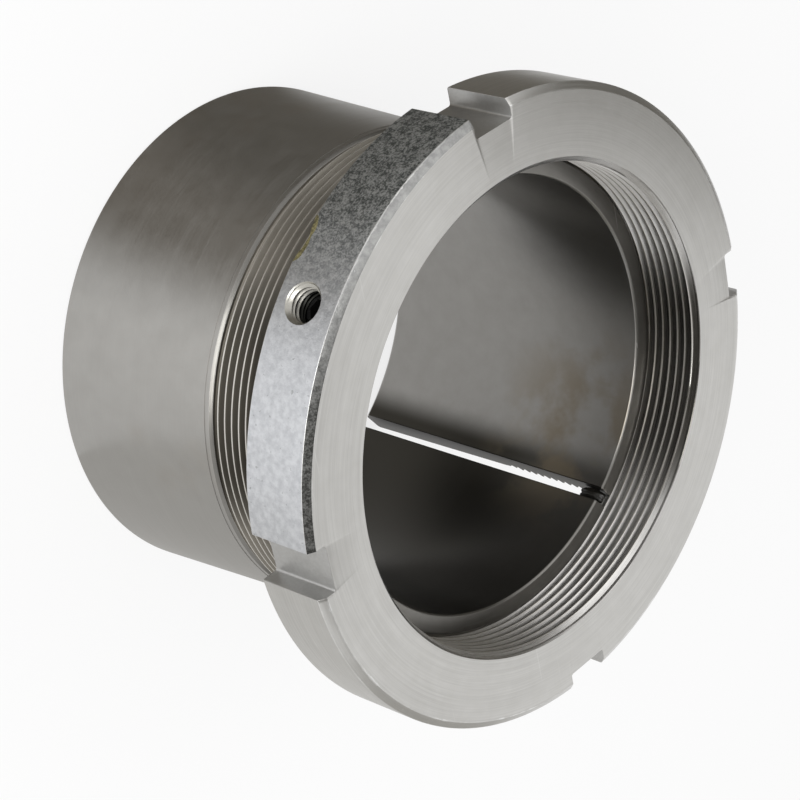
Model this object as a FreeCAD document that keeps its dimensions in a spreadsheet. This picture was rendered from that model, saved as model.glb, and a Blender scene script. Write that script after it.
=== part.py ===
import FreeCAD, Part
import math
import os
import re
import Sketcher

# Bearing adapter sleeve with its lock nut.
# A split steel sleeve has a plain bore for the shaft and a 1:12 taper outside for the bearing.
# Its small end is threaded, and the slotted nut on that thread drives the sleeve into the bearing.
# A set screw in the side of the nut bears on a small pad, which grips the sleeve's thread.
# The part stands on the sleeve's large end: Z runs along the axis, and the nut is on top.
# The nut's spanner slots lie on the X and Y axes.

# Driving dimensions, in millimetres and degrees
SIZES = {
    "sleeve_length": 110.0,
    "sleeve_wall": 8.5,
    "taper_length_per_diameter": 12.0,
    "base_bevel": 0.8,
    "bore_base_bevel": 3.0,
    "bore_end_bevel": 0.6,
    "thread_diameter": 155.0,
    "thread_pitch": 3.0,
    "thread_length": 48.0,
    "relief_width": 3.2,
    "sleeve_end_drop": 2.5,
    "split_width": 4.4,
    "split_angle": -56.3,
    "nut_wall": 22.5,
    "nut_width": 24.0,
    "nut_overhang": 19.4,
    "nut_face_bevel": 2.3,
    "nut_face_bevel_height": 1.5,
    "nut_back_bevel": 0.5,
    "nut_mouth_allowance": 0.25,
    "slot_count": 4.0,
    "slot_width": 15.5,
    "slot_depth": 6.2,
    "slot_corner_radius": 0.8,
    "thread_clearance": 0.1,
    "screw_angle": 135.4,
    "screw_height": 10.3,
    "screw_diameter": 12.0,
    "screw_pitch": 1.75,
    "screw_length": 12.0,
    "screw_mouth_allowance": 0.5,
    "screw_point_drop": 1.75,
    "screw_rim_bevel": 0.6,
    "hex_key_width": 6.0,
    "hex_key_depth": 5.0,
    "pad_length": 4.1,
    "pad_clearance": 0.3,
}

# Sizes that follow from the driving ones.
# A metric thread's pitch diameter lies 0.6495 of a pitch inside its outer one,
# and its root lies 0.6134 of a pitch inside, measured on the radius.
# The turns themselves are too fine for the solids, so a threaded wall is a plain one
# at the pitch diameter, with the running clearance shared between screw and nut.
# The sleeve's bore and end, the nut's rim and mouth, the pad and the set screw all keep to
# the thread, and the set screw's point and the mouth of its hole keep to the screw.
DERIVED = {
    "bore_diameter": "thread_diameter - 2 * sleeve_wall",
    "bore_radius": "bore_diameter / 2",
    "thread_radius": "thread_diameter / 2",
    "thread_start": "sleeve_length - thread_length",
    "base_radius": "thread_radius + thread_start / taper_length_per_diameter / 2",
    "base_edge_radius": "base_radius - base_bevel / taper_length_per_diameter / 2",
    "relief_radius": "thread_radius - 0.6134 * thread_pitch",
    "pitch_radius": "(thread_diameter - 0.6495 * thread_pitch) / 2",
    "sleeve_thread_radius": "pitch_radius - thread_clearance / 2",
    "nut_thread_radius": "pitch_radius + thread_clearance / 2",
    "sleeve_end_diameter": "thread_diameter - 2 * sleeve_end_drop",
    "sleeve_end_bevel": "sleeve_thread_radius - sleeve_end_diameter / 2",
    "nut_diameter": "thread_diameter + 2 * nut_wall",
    "nut_radius": "nut_diameter / 2",
    "nut_face": "sleeve_length + nut_overhang",
    "nut_back": "nut_face - nut_width",
    "nut_mouth_diameter": "thread_diameter + 2 * nut_mouth_allowance",
    "nut_mouth_radius": "nut_mouth_diameter / 2",
    "nut_mouth_bevel": "nut_mouth_radius - nut_thread_radius",
    "slot_floor": "nut_radius - slot_depth",
    "screw_pitch_radius": "(screw_diameter - 0.6495 * screw_pitch) / 2",
    "screw_body_radius": "screw_pitch_radius - thread_clearance / 2",
    "screw_hole_radius": "screw_pitch_radius + thread_clearance / 2",
    "screw_mouth_diameter": "screw_diameter + 2 * screw_mouth_allowance",
    "screw_mouth_bevel": "screw_mouth_diameter / 2 - screw_hole_radius",
    "screw_point_diameter": "screw_diameter - 2 * screw_point_drop",
    "screw_point_bevel": "screw_body_radius - screw_point_diameter / 2",
    "screw_level": "nut_back + screw_height",
    "pad_top": "nut_thread_radius + pad_length",
    "screw_tip": "pad_top + pad_clearance",
}

doc = FreeCAD.newDocument("adapter_sleeve")
sheet = doc.addObject("Spreadsheet::Sheet", "Dimensions")


def fill_sheet():
    """Write each size beside its name, the driving ones as numbers and the rest as formulas."""
    cells = {name: str(number) for name, number in SIZES.items()}
    cells.update({name: f"={formula}" for name, formula in DERIVED.items()})
    for row, (name, text) in enumerate(cells.items(), start=1):
        sheet.set(f"A{row}", name)
        sheet.set(f"B{row}", text)
        sheet.setAlias(f"B{row}", name)
    doc.recompute()


def bound(formula):
    """A formula in size names, as the expression that reads them from the sheet."""
    def name_in_sheet(word):
        known = word[0] in SIZES or word[0] in DERIVED
        return f"Dimensions.{word[0]}" if known else word[0]
    return re.sub(r"[a-z_]+", name_in_sheet, formula)


def value(formula):
    return float(sheet.evalExpression(bound(formula)))


def new_body(name):
    body = doc.addObject("PartDesign::Body", f"{name}_body")
    body.Label = name
    return body


def new_sketch(body, name, role, turn=None, lift=None):
    """A sketch on one of the body's own planes, turned about Z and lifted along Z by sizes."""
    plane = next(f for f in body.Origin.OriginFeatures if f.Role == role)
    sketch = body.newObject("Sketcher::SketchObject", name)
    sketch.AttachmentSupport = [(plane, "")]
    sketch.MapMode = "FlatFace"
    flat = role == "XY_Plane"
    if turn:
        upward = FreeCAD.Vector(0, 0, 1) if flat else FreeCAD.Vector(0, 1, 0)
        rotation = FreeCAD.Rotation(upward, value(turn))
        sketch.AttachmentOffset = FreeCAD.Placement(FreeCAD.Vector(), rotation)
        sketch.setExpression("AttachmentOffset.Rotation.Angle", bound(turn))
    if lift:
        height = "z" if flat else "y"
        sketch.setExpression(f"AttachmentOffset.Base.{height}", bound(lift))
    return sketch


def draw_outline(sketch, corners):
    """A closed outline of straight sides, each corner held by two formulas from the origin."""
    points = [FreeCAD.Vector(value(x), value(y), 0) for x, y in corners]
    count = len(points)
    for i in range(count):
        side = Part.LineSegment(points[i], points[(i + 1) % count])
        sketch.addGeometry(side, False)
    for i in range(count):
        sketch.addConstraint(Sketcher.Constraint("Coincident", i, 2, (i + 1) % count, 1))
    for i, (x, y) in enumerate(corners):
        for kind, formula in (("DistanceX", x), ("DistanceY", y)):
            held = Sketcher.Constraint(kind, -1, 1, i, 1, value(formula))
            index = sketch.addConstraint(held)
            sketch.setExpression(f"Constraints[{index}]", bound(formula))


def revolve(body, name, sketch, axis):
    turned = body.newObject("PartDesign::Revolution", name)
    turned.Profile = sketch
    turned.ReferenceAxis = (sketch, [axis])
    turned.Angle = 360
    doc.recompute()
    return turned


def cut_through(body, name, sketch):
    """A cut from the sketch upward through the whole body."""
    before = body.Shape.Volume
    cut = body.newObject("PartDesign::Pocket", name)
    cut.Profile = sketch
    cut.Type = "ThroughAll"
    cut.Reversed = True
    doc.recompute()
    if body.Shape.Volume >= before:
        raise ValueError(f"{name} removes nothing")
    return cut


def along_screw_axis(distance):
    """A placement on the set screw's axis, Z pointing outward, at a distance from the sleeve's."""
    centre = (
        f"vector({distance} * cos(screw_angle); {distance} * sin(screw_angle); screw_level)"
    )
    return bound(f"placement({centre}; rotation(screw_angle; 90; 0))")


def make_sleeve():
    """The split sleeve: one turned section, then one cut along its whole length."""
    body = new_body("adapter_sleeve")
    section = new_sketch(body, "sleeve_section", "XZ_Plane")
    relief_slope = "(thread_radius - relief_radius)"
    relief_end = "thread_start + relief_width"
    draw_outline(section, [
        ("bore_radius + bore_base_bevel", "0"),
        ("base_radius - base_bevel", "0"),
        ("base_edge_radius", "base_bevel"),
        ("thread_radius", "thread_start"),
        ("relief_radius", f"thread_start + {relief_slope}"),
        ("relief_radius", relief_end),
        ("sleeve_thread_radius", f"{relief_end} + sleeve_thread_radius - relief_radius"),
        ("sleeve_thread_radius", "sleeve_length - sleeve_end_bevel"),
        ("sleeve_end_diameter / 2", "sleeve_length"),
        ("bore_radius + bore_end_bevel", "sleeve_length"),
        ("bore_radius", "sleeve_length - bore_end_bevel"),
        ("bore_radius", "bore_base_bevel"),
    ])
    revolve(body, "turned_sleeve", section, "V_Axis")
    split = new_sketch(body, "split_outline", "XY_Plane", turn="split_angle")
    draw_outline(split, [
        ("bore_radius / 2", "-split_width / 2"),
        ("nut_radius", "-split_width / 2"),
        ("nut_radius", "split_width / 2"),
        ("bore_radius / 2", "split_width / 2"),
    ])
    cut_through(body, "split", split)
    return body


def slot_corner_edges(shape):
    """Names of the upright edges where a spanner slot's walls meet its floor."""
    corner = math.hypot(value("slot_floor"), value("slot_width / 2"))
    names = []
    for number, edge in enumerate(shape.Edges, start=1):
        ends = [vertex.Point for vertex in edge.Vertexes]
        upright = len(ends) == 2 and abs(ends[0].x - ends[1].x) + abs(ends[0].y - ends[1].y) < 1e-6
        if upright and abs(math.hypot(ends[0].x, ends[0].y) - corner) < 1e-4:
            names.append(f"Edge{number}")
    return names


def make_nut():
    """The lock nut: a turned ring, spanner slots milled across its rim, and a tapped side hole."""
    body = new_body("lock_nut")
    section = new_sketch(body, "nut_section", "XZ_Plane")
    draw_outline(section, [
        ("nut_mouth_radius", "nut_back"),
        ("nut_radius - nut_back_bevel", "nut_back"),
        ("nut_radius", "nut_back + nut_back_bevel"),
        ("nut_radius", "nut_face - nut_face_bevel_height"),
        ("nut_radius - nut_face_bevel", "nut_face"),
        ("nut_mouth_radius", "nut_face"),
        ("nut_thread_radius", "nut_face - nut_mouth_bevel"),
        ("nut_thread_radius", "nut_back + nut_mouth_bevel"),
    ])
    revolve(body, "turned_ring", section, "V_Axis")

    slot = new_sketch(body, "slot_outline", "XY_Plane")
    draw_outline(slot, [
        ("slot_floor", "-slot_width / 2"),
        ("nut_radius + slot_depth", "-slot_width / 2"),
        ("nut_radius + slot_depth", "slot_width / 2"),
        ("slot_floor", "slot_width / 2"),
    ])
    first_slot = cut_through(body, "first_slot", slot)
    slots = body.newObject("PartDesign::PolarPattern", "slots")
    slots.Originals = [first_slot]
    slots.Axis = (slot, ["N_Axis"])
    slots.Angle = 360
    slots.setExpression("Occurrences", bound("slot_count"))
    body.Tip = slots
    doc.recompute()

    corners = body.newObject("PartDesign::Fillet", "slot_corners")
    corners.Base = (slots, slot_corner_edges(slots.Shape))
    corners.setExpression("Radius", bound("slot_corner_radius"))
    doc.recompute()

    hole = new_sketch(body, "screw_hole_section", "XZ_Plane", "screw_angle", "screw_level")
    draw_outline(hole, [
        ("bore_radius", "0"),
        ("nut_radius + screw_mouth_bevel", "0"),
        ("nut_radius + screw_mouth_bevel", "screw_hole_radius + 2 * screw_mouth_bevel"),
        ("nut_radius - screw_mouth_bevel", "screw_hole_radius"),
        ("bore_radius", "screw_hole_radius"),
    ])
    before = body.Shape.Volume
    bored = body.newObject("PartDesign::Groove", "screw_hole")
    bored.Profile = hole
    bored.ReferenceAxis = (hole, ["H_Axis"])
    bored.Angle = 360
    doc.recompute()
    if body.Shape.Volume >= before:
        raise ValueError("the screw hole removes nothing")
    return body


def make_screw():
    """The set screw: a turned plug with a flat point and a hexagon socket in its outer end."""
    body = new_body("lock_screw")
    section = new_sketch(body, "screw_section", "XZ_Plane")
    draw_outline(section, [
        ("0", "0"),
        ("screw_point_diameter / 2", "0"),
        ("screw_body_radius", "screw_point_bevel"),
        ("screw_body_radius", "screw_length - screw_rim_bevel"),
        ("screw_body_radius - screw_rim_bevel", "screw_length"),
        ("0", "screw_length"),
    ])
    revolve(body, "turned_plug", section, "V_Axis")
    socket = new_sketch(body, "socket_outline", "XY_Plane", lift="screw_length - hex_key_depth")
    corner_angles = range(0, 360, 60)
    draw_outline(socket, [
        (f"hex_key_width / sqrt(3) * cos({angle})", f"hex_key_width / sqrt(3) * sin({angle})")
        for angle in corner_angles
    ])
    cut_through(body, "hexagon_socket", socket)
    body.setExpression("Placement", along_screw_axis("screw_tip"))
    return body


def make_pad():
    """The locking pad: a short plug whose inner end is hollowed to the sleeve's thread."""
    blank = doc.addObject("Part::Cylinder", "pad_blank")
    blank.setExpression("Radius", bound("screw_body_radius"))
    blank.setExpression("Height", bound("pad_top - bore_radius"))
    blank.setExpression("Placement", along_screw_axis("bore_radius"))
    thread_space = doc.addObject("Part::Cylinder", "pad_thread_space")
    thread_space.setExpression("Radius", bound("nut_thread_radius"))
    thread_space.setExpression("Height", bound("nut_width"))
    thread_space.setExpression("Placement.Base.z", bound("nut_back"))
    pad = doc.addObject("Part::Cut", "pad")
    pad.Base = blank
    pad.Tool = thread_space
    pad.Label = "locking_pad"
    return pad


def check_model(pieces):
    """Stop if any object failed to build, or a piece has no sound solid."""
    for item in doc.Objects:
        if "Invalid" in item.State or "Error" in item.State:
            raise ValueError(f"{item.Name} did not build: {item.State}")
    for piece in pieces:
        shape = piece.Shape
        if shape.isNull() or not shape.isValid() or len(shape.Solids) != 1:
            raise ValueError(f"{piece.Label} is not one sound solid")


fill_sheet()
pieces = [make_sleeve(), make_nut(), make_screw(), make_pad()]
doc.recompute()
check_model(pieces)
os.makedirs("parts", exist_ok=True)
for piece in pieces:
    piece.Shape.exportStep(f"parts/{piece.Label}.step")
    size = piece.Shape.BoundBox
    print(f"{piece.Label}: {piece.Shape.Volume / 1000:.2f} cm3, "
          f"X {size.XMin:.2f} to {size.XMax:.2f}, Y {size.YMin:.2f} to {size.YMax:.2f}, "
          f"Z {size.ZMin:.2f} to {size.ZMax:.2f}")
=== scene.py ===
# %% [markdown]
# # A bearing adapter sleeve with its lock nut
# The part is a split steel sleeve, bored plain for a shaft and tapered outside for a bearing.
# Its small end is threaded, and a slotted lock nut sits part-way on that thread.
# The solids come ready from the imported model. This file dresses them: it cuts real threads,
# breaks the sharp edges and gives each piece the steel it is made of.
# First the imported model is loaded, so that every later piece can be placed by its numbers.

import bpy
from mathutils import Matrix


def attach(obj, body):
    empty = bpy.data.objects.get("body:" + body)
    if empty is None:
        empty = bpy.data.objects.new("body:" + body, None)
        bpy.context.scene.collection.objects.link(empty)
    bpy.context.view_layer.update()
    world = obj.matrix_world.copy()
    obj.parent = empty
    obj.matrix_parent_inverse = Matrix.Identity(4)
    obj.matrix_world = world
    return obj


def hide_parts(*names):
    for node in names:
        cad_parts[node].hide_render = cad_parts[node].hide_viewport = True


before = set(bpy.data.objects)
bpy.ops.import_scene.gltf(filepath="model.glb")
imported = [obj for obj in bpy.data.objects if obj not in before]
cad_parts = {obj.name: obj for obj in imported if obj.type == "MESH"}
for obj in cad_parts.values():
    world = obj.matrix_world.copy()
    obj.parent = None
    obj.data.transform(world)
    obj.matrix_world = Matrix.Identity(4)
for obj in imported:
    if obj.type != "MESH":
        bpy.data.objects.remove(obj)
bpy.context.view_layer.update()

# %% [markdown]
# ## Sizes
# Blender works in metres, but a turned part is easier to read in millimetres.
# So the sizes are written in millimetres here and turned to metres where a mesh is made.
# Most are the sizes that the solids were built from. The thread's section, the land and bevel
# before the thread and the small rounded edges are finer, and were judged by the photograph.

# %% Sizes in millimetres
import math
from functools import partial

import bmesh
import bpy
import numpy as np
from mathutils import Matrix, Vector

MM = 0.001

SLEEVE_LENGTH = 110.0
BORE_RADIUS = 69.0
BASE_RADIUS = 80.083
TAPER = 1 / 24  # loss of radius with height: 1 in 12 on the diameter
TAPER_END = 63.3
END_BEVEL_FROM, END_BEVEL_TO = 65.0, 65.9
THREAD_WALL_START = 66.2
SLEEVE_END_RADIUS = 75.0
SPLIT_WIDTH = 4.4
SPLIT_ANGLE = math.radians(-56.3)
ALONG_SPLIT = Vector((math.cos(SPLIT_ANGLE), math.sin(SPLIT_ANGLE), 0))
ACROSS_SPLIT = Vector((-math.sin(SPLIT_ANGLE), math.cos(SPLIT_ANGLE), 0))

THREAD_RADIUS = 77.5
THREAD_ROOT = 75.66
THREAD_PITCH = 3.0
CREST_HALF_WIDTH = 0.25
FIRST_CREST = 67.4

NUT_RADIUS = 100.0
NUT_BACK = 105.4
NUT_FACE = 129.4
NUT_BEVEL_WIDTH, NUT_BEVEL_HEIGHT = 2.3, 1.5
NUT_MOUTH_RADIUS = 77.75
NUT_THREAD_CREST = 75.88
NUT_THREAD_ROOT = 77.55
NUT_FIRST_CREST = NUT_BACK + 0.68
SLOT_FLOOR = 93.8
SLOT_HALF_WIDTH = 7.75
SLOT_CORNER = 0.9

SCREW_ANGLE = math.radians(135.4)
SCREW_LEVEL = 115.7
SCREW_RADIUS = 6.0
SCREW_ROOT = 4.927
SCREW_PITCH = 1.75
SCREW_TIP = 80.976
SCREW_LENGTH = 12.0
SCREW_BEVEL = 0.6
SCREW_POINT_RADIUS, SCREW_HEAD_RADIUS = 4.25, 4.8
HEXAGON_WIDTH, HEXAGON_DEPTH = 6.0, 5.0
PAD_TOP = 80.676

# Engaged threads are trimmed to these radii, with a little room between them
SLEEVE_TRIM, NUT_TRIM = 76.47, 76.58
SLEEVE_TRIM_FROM = NUT_BACK + 1.0
NUT_TRIM_TO = SLEEVE_LENGTH - 1.4
SCREW_TRIM, HOLE_TRIM = 5.38, 5.48

TAN_60 = math.tan(math.radians(60))
print("nut", 2 * NUT_RADIUS, "mm across, sleeve", SLEEVE_LENGTH, "mm long")

# %% [markdown]
# ## Small helpers for node trees
# Threads are built by Geometry Nodes and the steels by shader nodes. Both are trees of small
# steps, so short helpers place a node, feed its inputs, chain sums and declare a tree's inputs.
# A value given to them may be a plain number or another node's output.

# %% Helpers that place nodes
def place(tree, kind, **settings):
    node = tree.nodes.new(kind)
    for name, setting in settings.items():
        setattr(node, name, setting)
    return node


def feed(tree, socket, value):
    if isinstance(value, bpy.types.NodeSocket):
        tree.links.new(value, socket)
    else:
        socket.default_value = value


def calc(tree, operation, *values):
    node = place(tree, "ShaderNodeMath", operation=operation)
    for socket, value in zip(node.inputs, values):
        feed(tree, socket, value)
    return node.outputs[0]


def add_inputs(tree, sizes, kind="NodeSocketFloat"):
    for name, default in sizes.items():
        socket = tree.interface.new_socket(name, in_out="INPUT", socket_type=kind)
        socket.default_value = default


print("helpers ready: place, feed, calc, add_inputs")

# %% [markdown]
# ## The screw thread, as a rule
# A thread is one ridge wound up a cylinder. It could be swept along a helix, but a sweep
# leaves open ends and overlapping turns. Here the wall is a grid instead: its columns go round
# the axis, and its rows climb by one pitch in each turn, so that they run along the ridge.
# Rows that pass an end of the wall are held at that end and then merged, which leaves a clean
# rim. The same tree makes an outside thread (side 1) and an inside one (side -1), because
# an inside thread is an outside one seen from the metal.
# Three limits trim the ridge: a bevel at each end, and a plateau where two threads engage.

# %% Row positions across one ridge
ROW_STEPS = [-0.5, -0.45, -0.4, -0.25, -0.115, -0.072, 0.072, 0.115, 0.25, 0.4, 0.45]

THREAD_INPUTS = {
    "Side": 1.0, "Crest radius": 1.0, "Root radius": 1.0, "Crest half width": 0.1,
    "Pitch": 1.0, "Phase": 0.0, "Start": 0.0, "End": 1.0,
    "Start radius": 1.0, "End radius": 1.0,
    "Plateau radius": 1.0, "Plateau edge": 0.0, "Plateau direction": 1.0,
    "First angle": 0.0, "Gap": 0.0, "Edge break": 0.0,
}
print(len(ROW_STEPS), "rows in each turn of a thread")

# %% Where each point of the grid lies on the ridge
def thread_grid(tree, given):
    """The grid, and for each of its points the column, turn, place across and share round."""
    sums = partial(calc, tree)
    rows = sums("MULTIPLY", given["Turns"], len(ROW_STEPS))
    grid = place(tree, "GeometryNodeMeshGrid")
    feed(tree, grid.inputs["Vertices X"], given["Columns"])
    feed(tree, grid.inputs["Vertices Y"], rows)
    index = place(tree, "GeometryNodeInputIndex").outputs[0]
    column = sums("FLOOR", sums("DIVIDE", sums("ADD", index, 0.5), rows))
    row = sums("SUBTRACT", index, sums("MULTIPLY", column, rows))
    turn = sums("FLOOR", sums("DIVIDE", sums("ADD", row, 0.5), len(ROW_STEPS)))
    step = sums("SUBTRACT", row, sums("MULTIPLY", turn, len(ROW_STEPS)))
    last_column = sums("SUBTRACT", given["Columns"], 1.0)

    across = place(tree, "GeometryNodeIndexSwitch", data_type="FLOAT")
    while len(across.index_switch_items) < len(ROW_STEPS):
        across.index_switch_items.new()
    feed(tree, across.inputs["Index"], step)
    for number, row_step in enumerate(ROW_STEPS):
        across.inputs[number + 1].default_value = row_step
    share = place(tree, "ShaderNodeClamp")
    feed(tree, share.inputs["Value"], sums("DIVIDE", sums("SUBTRACT", column, 1.0),
                                           sums("SUBTRACT", last_column, 2.0)))
    return grid.outputs["Mesh"], column, last_column, turn, across.outputs[0], share.outputs[0]


def ridge_place(tree, given, turn, across, share):
    """A point's height, held between the wall's ends, and its distance from the crest line."""
    sums = partial(calc, tree)
    climb = sums("ADD", sums("SUBTRACT", turn, 2.0), sums("ADD", share, across))
    first = sums("ADD", given["Start"], given["Phase"])
    raw_height = sums("ADD", first, sums("MULTIPLY", climb, given["Pitch"]))
    height = sums("MINIMUM", sums("MAXIMUM", raw_height, given["Start"]), given["End"])
    half_pitch = sums("MULTIPLY", given["Pitch"], 0.5)
    along = sums("SUBTRACT", sums("SUBTRACT", height, first),
                 sums("MULTIPLY", share, given["Pitch"]))
    offset = sums("ABSOLUTE", sums("WRAP", along, half_pitch, sums("MULTIPLY", half_pitch, -1.0)))
    return height, offset


print("thread_grid and ridge_place read a point's number and return its place")

# %% How far out a point stands, and at what angle
def trimmed_ridge(tree, given, height, offset):
    """The ridge's section with its 60 degree flanks, cut off by the bevels and the plateau."""
    sums = partial(calc, tree)
    crest = sums("MULTIPLY", given["Side"], given["Crest radius"])
    root = sums("MULTIPLY", given["Side"], given["Root radius"])
    flank = sums("SUBTRACT", crest, sums("MULTIPLY", TAN_60, sums(
        "SUBTRACT", offset, given["Crest half width"])))
    ridge = sums("MINIMUM", sums("MAXIMUM", flank, root), crest)
    from_start = sums("ADD", sums("MULTIPLY", given["Side"], given["Start radius"]),
                      sums("SUBTRACT", height, given["Start"]))
    from_end = sums("ADD", sums("MULTIPLY", given["Side"], given["End radius"]),
                    sums("SUBTRACT", given["End"], height))
    past_plateau = sums("MULTIPLY", given["Plateau direction"],
                        sums("SUBTRACT", height, given["Plateau edge"]))
    plateau = sums("ADD", sums("MULTIPLY", given["Side"], given["Plateau radius"]),
                   sums("MAXIMUM", past_plateau, 0.0))
    return sums("MINIMUM", sums("MINIMUM", ridge, plateau),
                sums("MINIMUM", from_start, from_end))


def beside_gap(tree, given, trimmed, column, last_column, share):
    """The radius and angle of a point; the columns beside the gap get its broken edge."""
    sums = partial(calc, tree)
    inner_column = sums("MULTIPLY", sums("GREATER_THAN", column, 0.5),
                        sums("LESS_THAN", column, sums("SUBTRACT", last_column, 0.5)))
    at_wall = sums("SUBTRACT", 1.0, inner_column)
    broken = sums("SUBTRACT", trimmed, sums("MULTIPLY", at_wall, given["Edge break"]))
    radius = sums("MULTIPLY", given["Side"], broken)
    half_gap = sums("ADD", sums("MULTIPLY", given["Gap"], 0.5),
                    sums("MULTIPLY", inner_column, given["Edge break"]))
    gap_angle = sums("ARCSINE", sums("DIVIDE", half_gap, radius))
    sweep = sums("SUBTRACT", 2 * math.pi, sums("MULTIPLY", gap_angle, 2.0))
    angle = sums("ADD", sums("ADD", given["First angle"], gap_angle),
                 sums("MULTIPLY", share, sweep))
    return radius, angle


print("trimmed_ridge and beside_gap turn that place into a radius and an angle")

# %% The tree that makes a threaded wall
def thread_tree():
    tree = bpy.data.node_groups.new("threaded_wall", "GeometryNodeTree")
    tree.interface.new_socket("Wall", in_out="OUTPUT", socket_type="NodeSocketGeometry")
    add_inputs(tree, {"Columns": 240, "Turns": 4}, "NodeSocketInt")
    add_inputs(tree, THREAD_INPUTS)
    tree.interface.new_socket("Steel", in_out="INPUT", socket_type="NodeSocketMaterial")
    given = place(tree, "NodeGroupInput").outputs
    result = place(tree, "NodeGroupOutput").inputs

    grid, column, last_column, turn, across, share = thread_grid(tree, given)
    height, offset = ridge_place(tree, given, turn, across, share)
    trimmed = trimmed_ridge(tree, given, height, offset)
    radius, angle = beside_gap(tree, given, trimmed, column, last_column, share)

    point = place(tree, "ShaderNodeCombineXYZ")
    feed(tree, point.inputs["X"], calc(tree, "MULTIPLY", radius, calc(tree, "COSINE", angle)))
    feed(tree, point.inputs["Y"], calc(tree, "MULTIPLY", radius, calc(tree, "SINE", angle)))
    feed(tree, point.inputs["Z"], height)
    to_metres = place(tree, "ShaderNodeVectorMath", operation="SCALE")
    feed(tree, to_metres.inputs[0], point.outputs[0])
    to_metres.inputs["Scale"].default_value = MM
    moved = place(tree, "GeometryNodeSetPosition")
    feed(tree, moved.inputs["Geometry"], grid)
    feed(tree, moved.inputs["Position"], to_metres.outputs[0])
    merged = place(tree, "GeometryNodeMergeByDistance")
    feed(tree, merged.inputs["Geometry"], moved.outputs[0])
    merged.inputs["Distance"].default_value = 0.001 * MM
    real = place(tree, "GeometryNodeRealizeInstances")
    feed(tree, real.inputs[0], merged.outputs[0])
    coated = place(tree, "GeometryNodeSetMaterial")
    feed(tree, coated.inputs["Geometry"], real.outputs[0])
    feed(tree, coated.inputs["Material"], given["Steel"])
    feed(tree, result["Wall"], coated.outputs[0])
    return tree


threaded_wall_tree = thread_tree()
print("threaded wall tree:", len(threaded_wall_tree.nodes), "nodes")

# %% [markdown]
# A modifier on an empty object runs the tree. The export wants plain meshes, so the result is
# copied out of the evaluated object and the object is thrown away. Each wall's sizes are set
# by the sockets' identifiers before the object is first evaluated.

# %% Run the tree and keep its result as a plain mesh
def plain_mesh(holder):
    """The evaluated object as a mesh of its own; the object that made it is removed."""
    evaluated = holder.evaluated_get(bpy.context.evaluated_depsgraph_get())
    mesh = bpy.data.meshes.new_from_object(evaluated)
    bpy.data.objects.remove(holder)
    slots = list(mesh.materials)
    used = sorted({face.material_index for face in mesh.polygons})
    mesh_slots = [used.index(face.material_index) for face in mesh.polygons]
    mesh.materials.clear()
    for slot in used:
        mesh.materials.append(slots[slot])
    mesh.polygons.foreach_set("material_index", mesh_slots)
    return mesh


def threaded_wall(steel, columns=240, **sizes):
    holder = bpy.data.objects.new("thread_holder", bpy.data.meshes.new("thread_holder"))
    bpy.context.scene.collection.objects.link(holder)
    modifier = holder.modifiers.new("thread", "NODES")
    modifier.node_group = threaded_wall_tree
    values = {name.replace("_", " ").capitalize(): number for name, number in sizes.items()}
    turns = math.ceil((values["End"] - values["Start"]) / values["Pitch"]) + 4
    values.update(Columns=columns + 3, Turns=turns, Steel=steel)
    for item in threaded_wall_tree.interface.items_tree:
        if item.in_out == "INPUT" and item.name in values:
            modifier[item.identifier] = values[item.name]
    return plain_mesh(holder)


print("a threaded wall needs its steel and its sizes")

# %% [markdown]
# ## Turned walls
# The rest of each ring is a section turned round the axis. Blender's Spin tool would do, but
# its columns must meet the thread's columns point for point, also beside the sleeve's split,
# whose two walls are parallel. So a small function places the columns by the thread's own rule.
# Sharp corners catch light on a real part because they are broken by a tiny bevel,
# so a helper rounds each corner of a section first.

# %% Columns and rounded sections
def column_place(radius, column, columns, first_angle, gap, edge_break):
    """Angle of a column at a radius, by the rule of the threaded wall."""
    inner = 0 < column < columns - 1
    share = min(max((column - 1) / (columns - 3), 0.0), 1.0)
    gap_angle = math.asin((gap / 2 + (edge_break if inner else 0.0)) / radius)
    return first_angle + gap_angle + share * (2 * math.pi - 2 * gap_angle)


def rounded(corners, steps=3):
    """A section whose corners (radius, height, rounding) become short curves."""
    points = []
    for number, (radius, height, size) in enumerate(corners):
        here = np.array([radius, height])
        if size == 0 or number in (0, len(corners) - 1):
            points.append(here)
            continue
        before, after = (np.array(corners[k][:2]) for k in (number - 1, number + 1))
        start = here + size * (before - here) / np.linalg.norm(before - here)
        finish = here + size * (after - here) / np.linalg.norm(after - here)
        for t in np.linspace(0, 1, steps + 1):
            points.append((1 - t) ** 2 * start + 2 * t * (1 - t) * here + t * t * finish)
    return points


def turned_wall(section, steel, columns=240, first_angle=0.0, gap=0.0, edge_break=0.0):
    """Turn a section, given from its first to its last point, with the metal on its left."""
    count = columns + 3
    points = np.array(section)
    ahead = np.diff(points, axis=0)
    normals = np.stack([-ahead[:, 1], ahead[:, 0]], 1)
    normals /= np.linalg.norm(normals, axis=1)[:, None]
    inward = np.vstack([normals[:1], (normals[:-1] + normals[1:]) / 2, normals[-1:]])
    inward[0], inward[-1] = (-1, 0), (-1, 0)
    verts, faces = [], []
    for column in range(count):
        at_wall = column in (0, count - 1)
        ring = points + inward * edge_break if at_wall else points
        for radius, height in ring:
            angle = column_place(radius, column, count, first_angle, gap, edge_break)
            verts.append((radius * math.cos(angle) * MM, radius * math.sin(angle) * MM,
                          height * MM))
    rows = len(points)
    for column in range(count - 1):
        for row in range(rows - 1):
            corner = column * rows + row
            faces.append((corner, corner + rows, corner + rows + 1, corner + 1))
    mesh = bpy.data.meshes.new("turned_wall")
    mesh.from_pydata(verts, [], faces)
    mesh.materials.append(steel)
    return mesh


print("turned walls share their columns with the threads")

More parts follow.
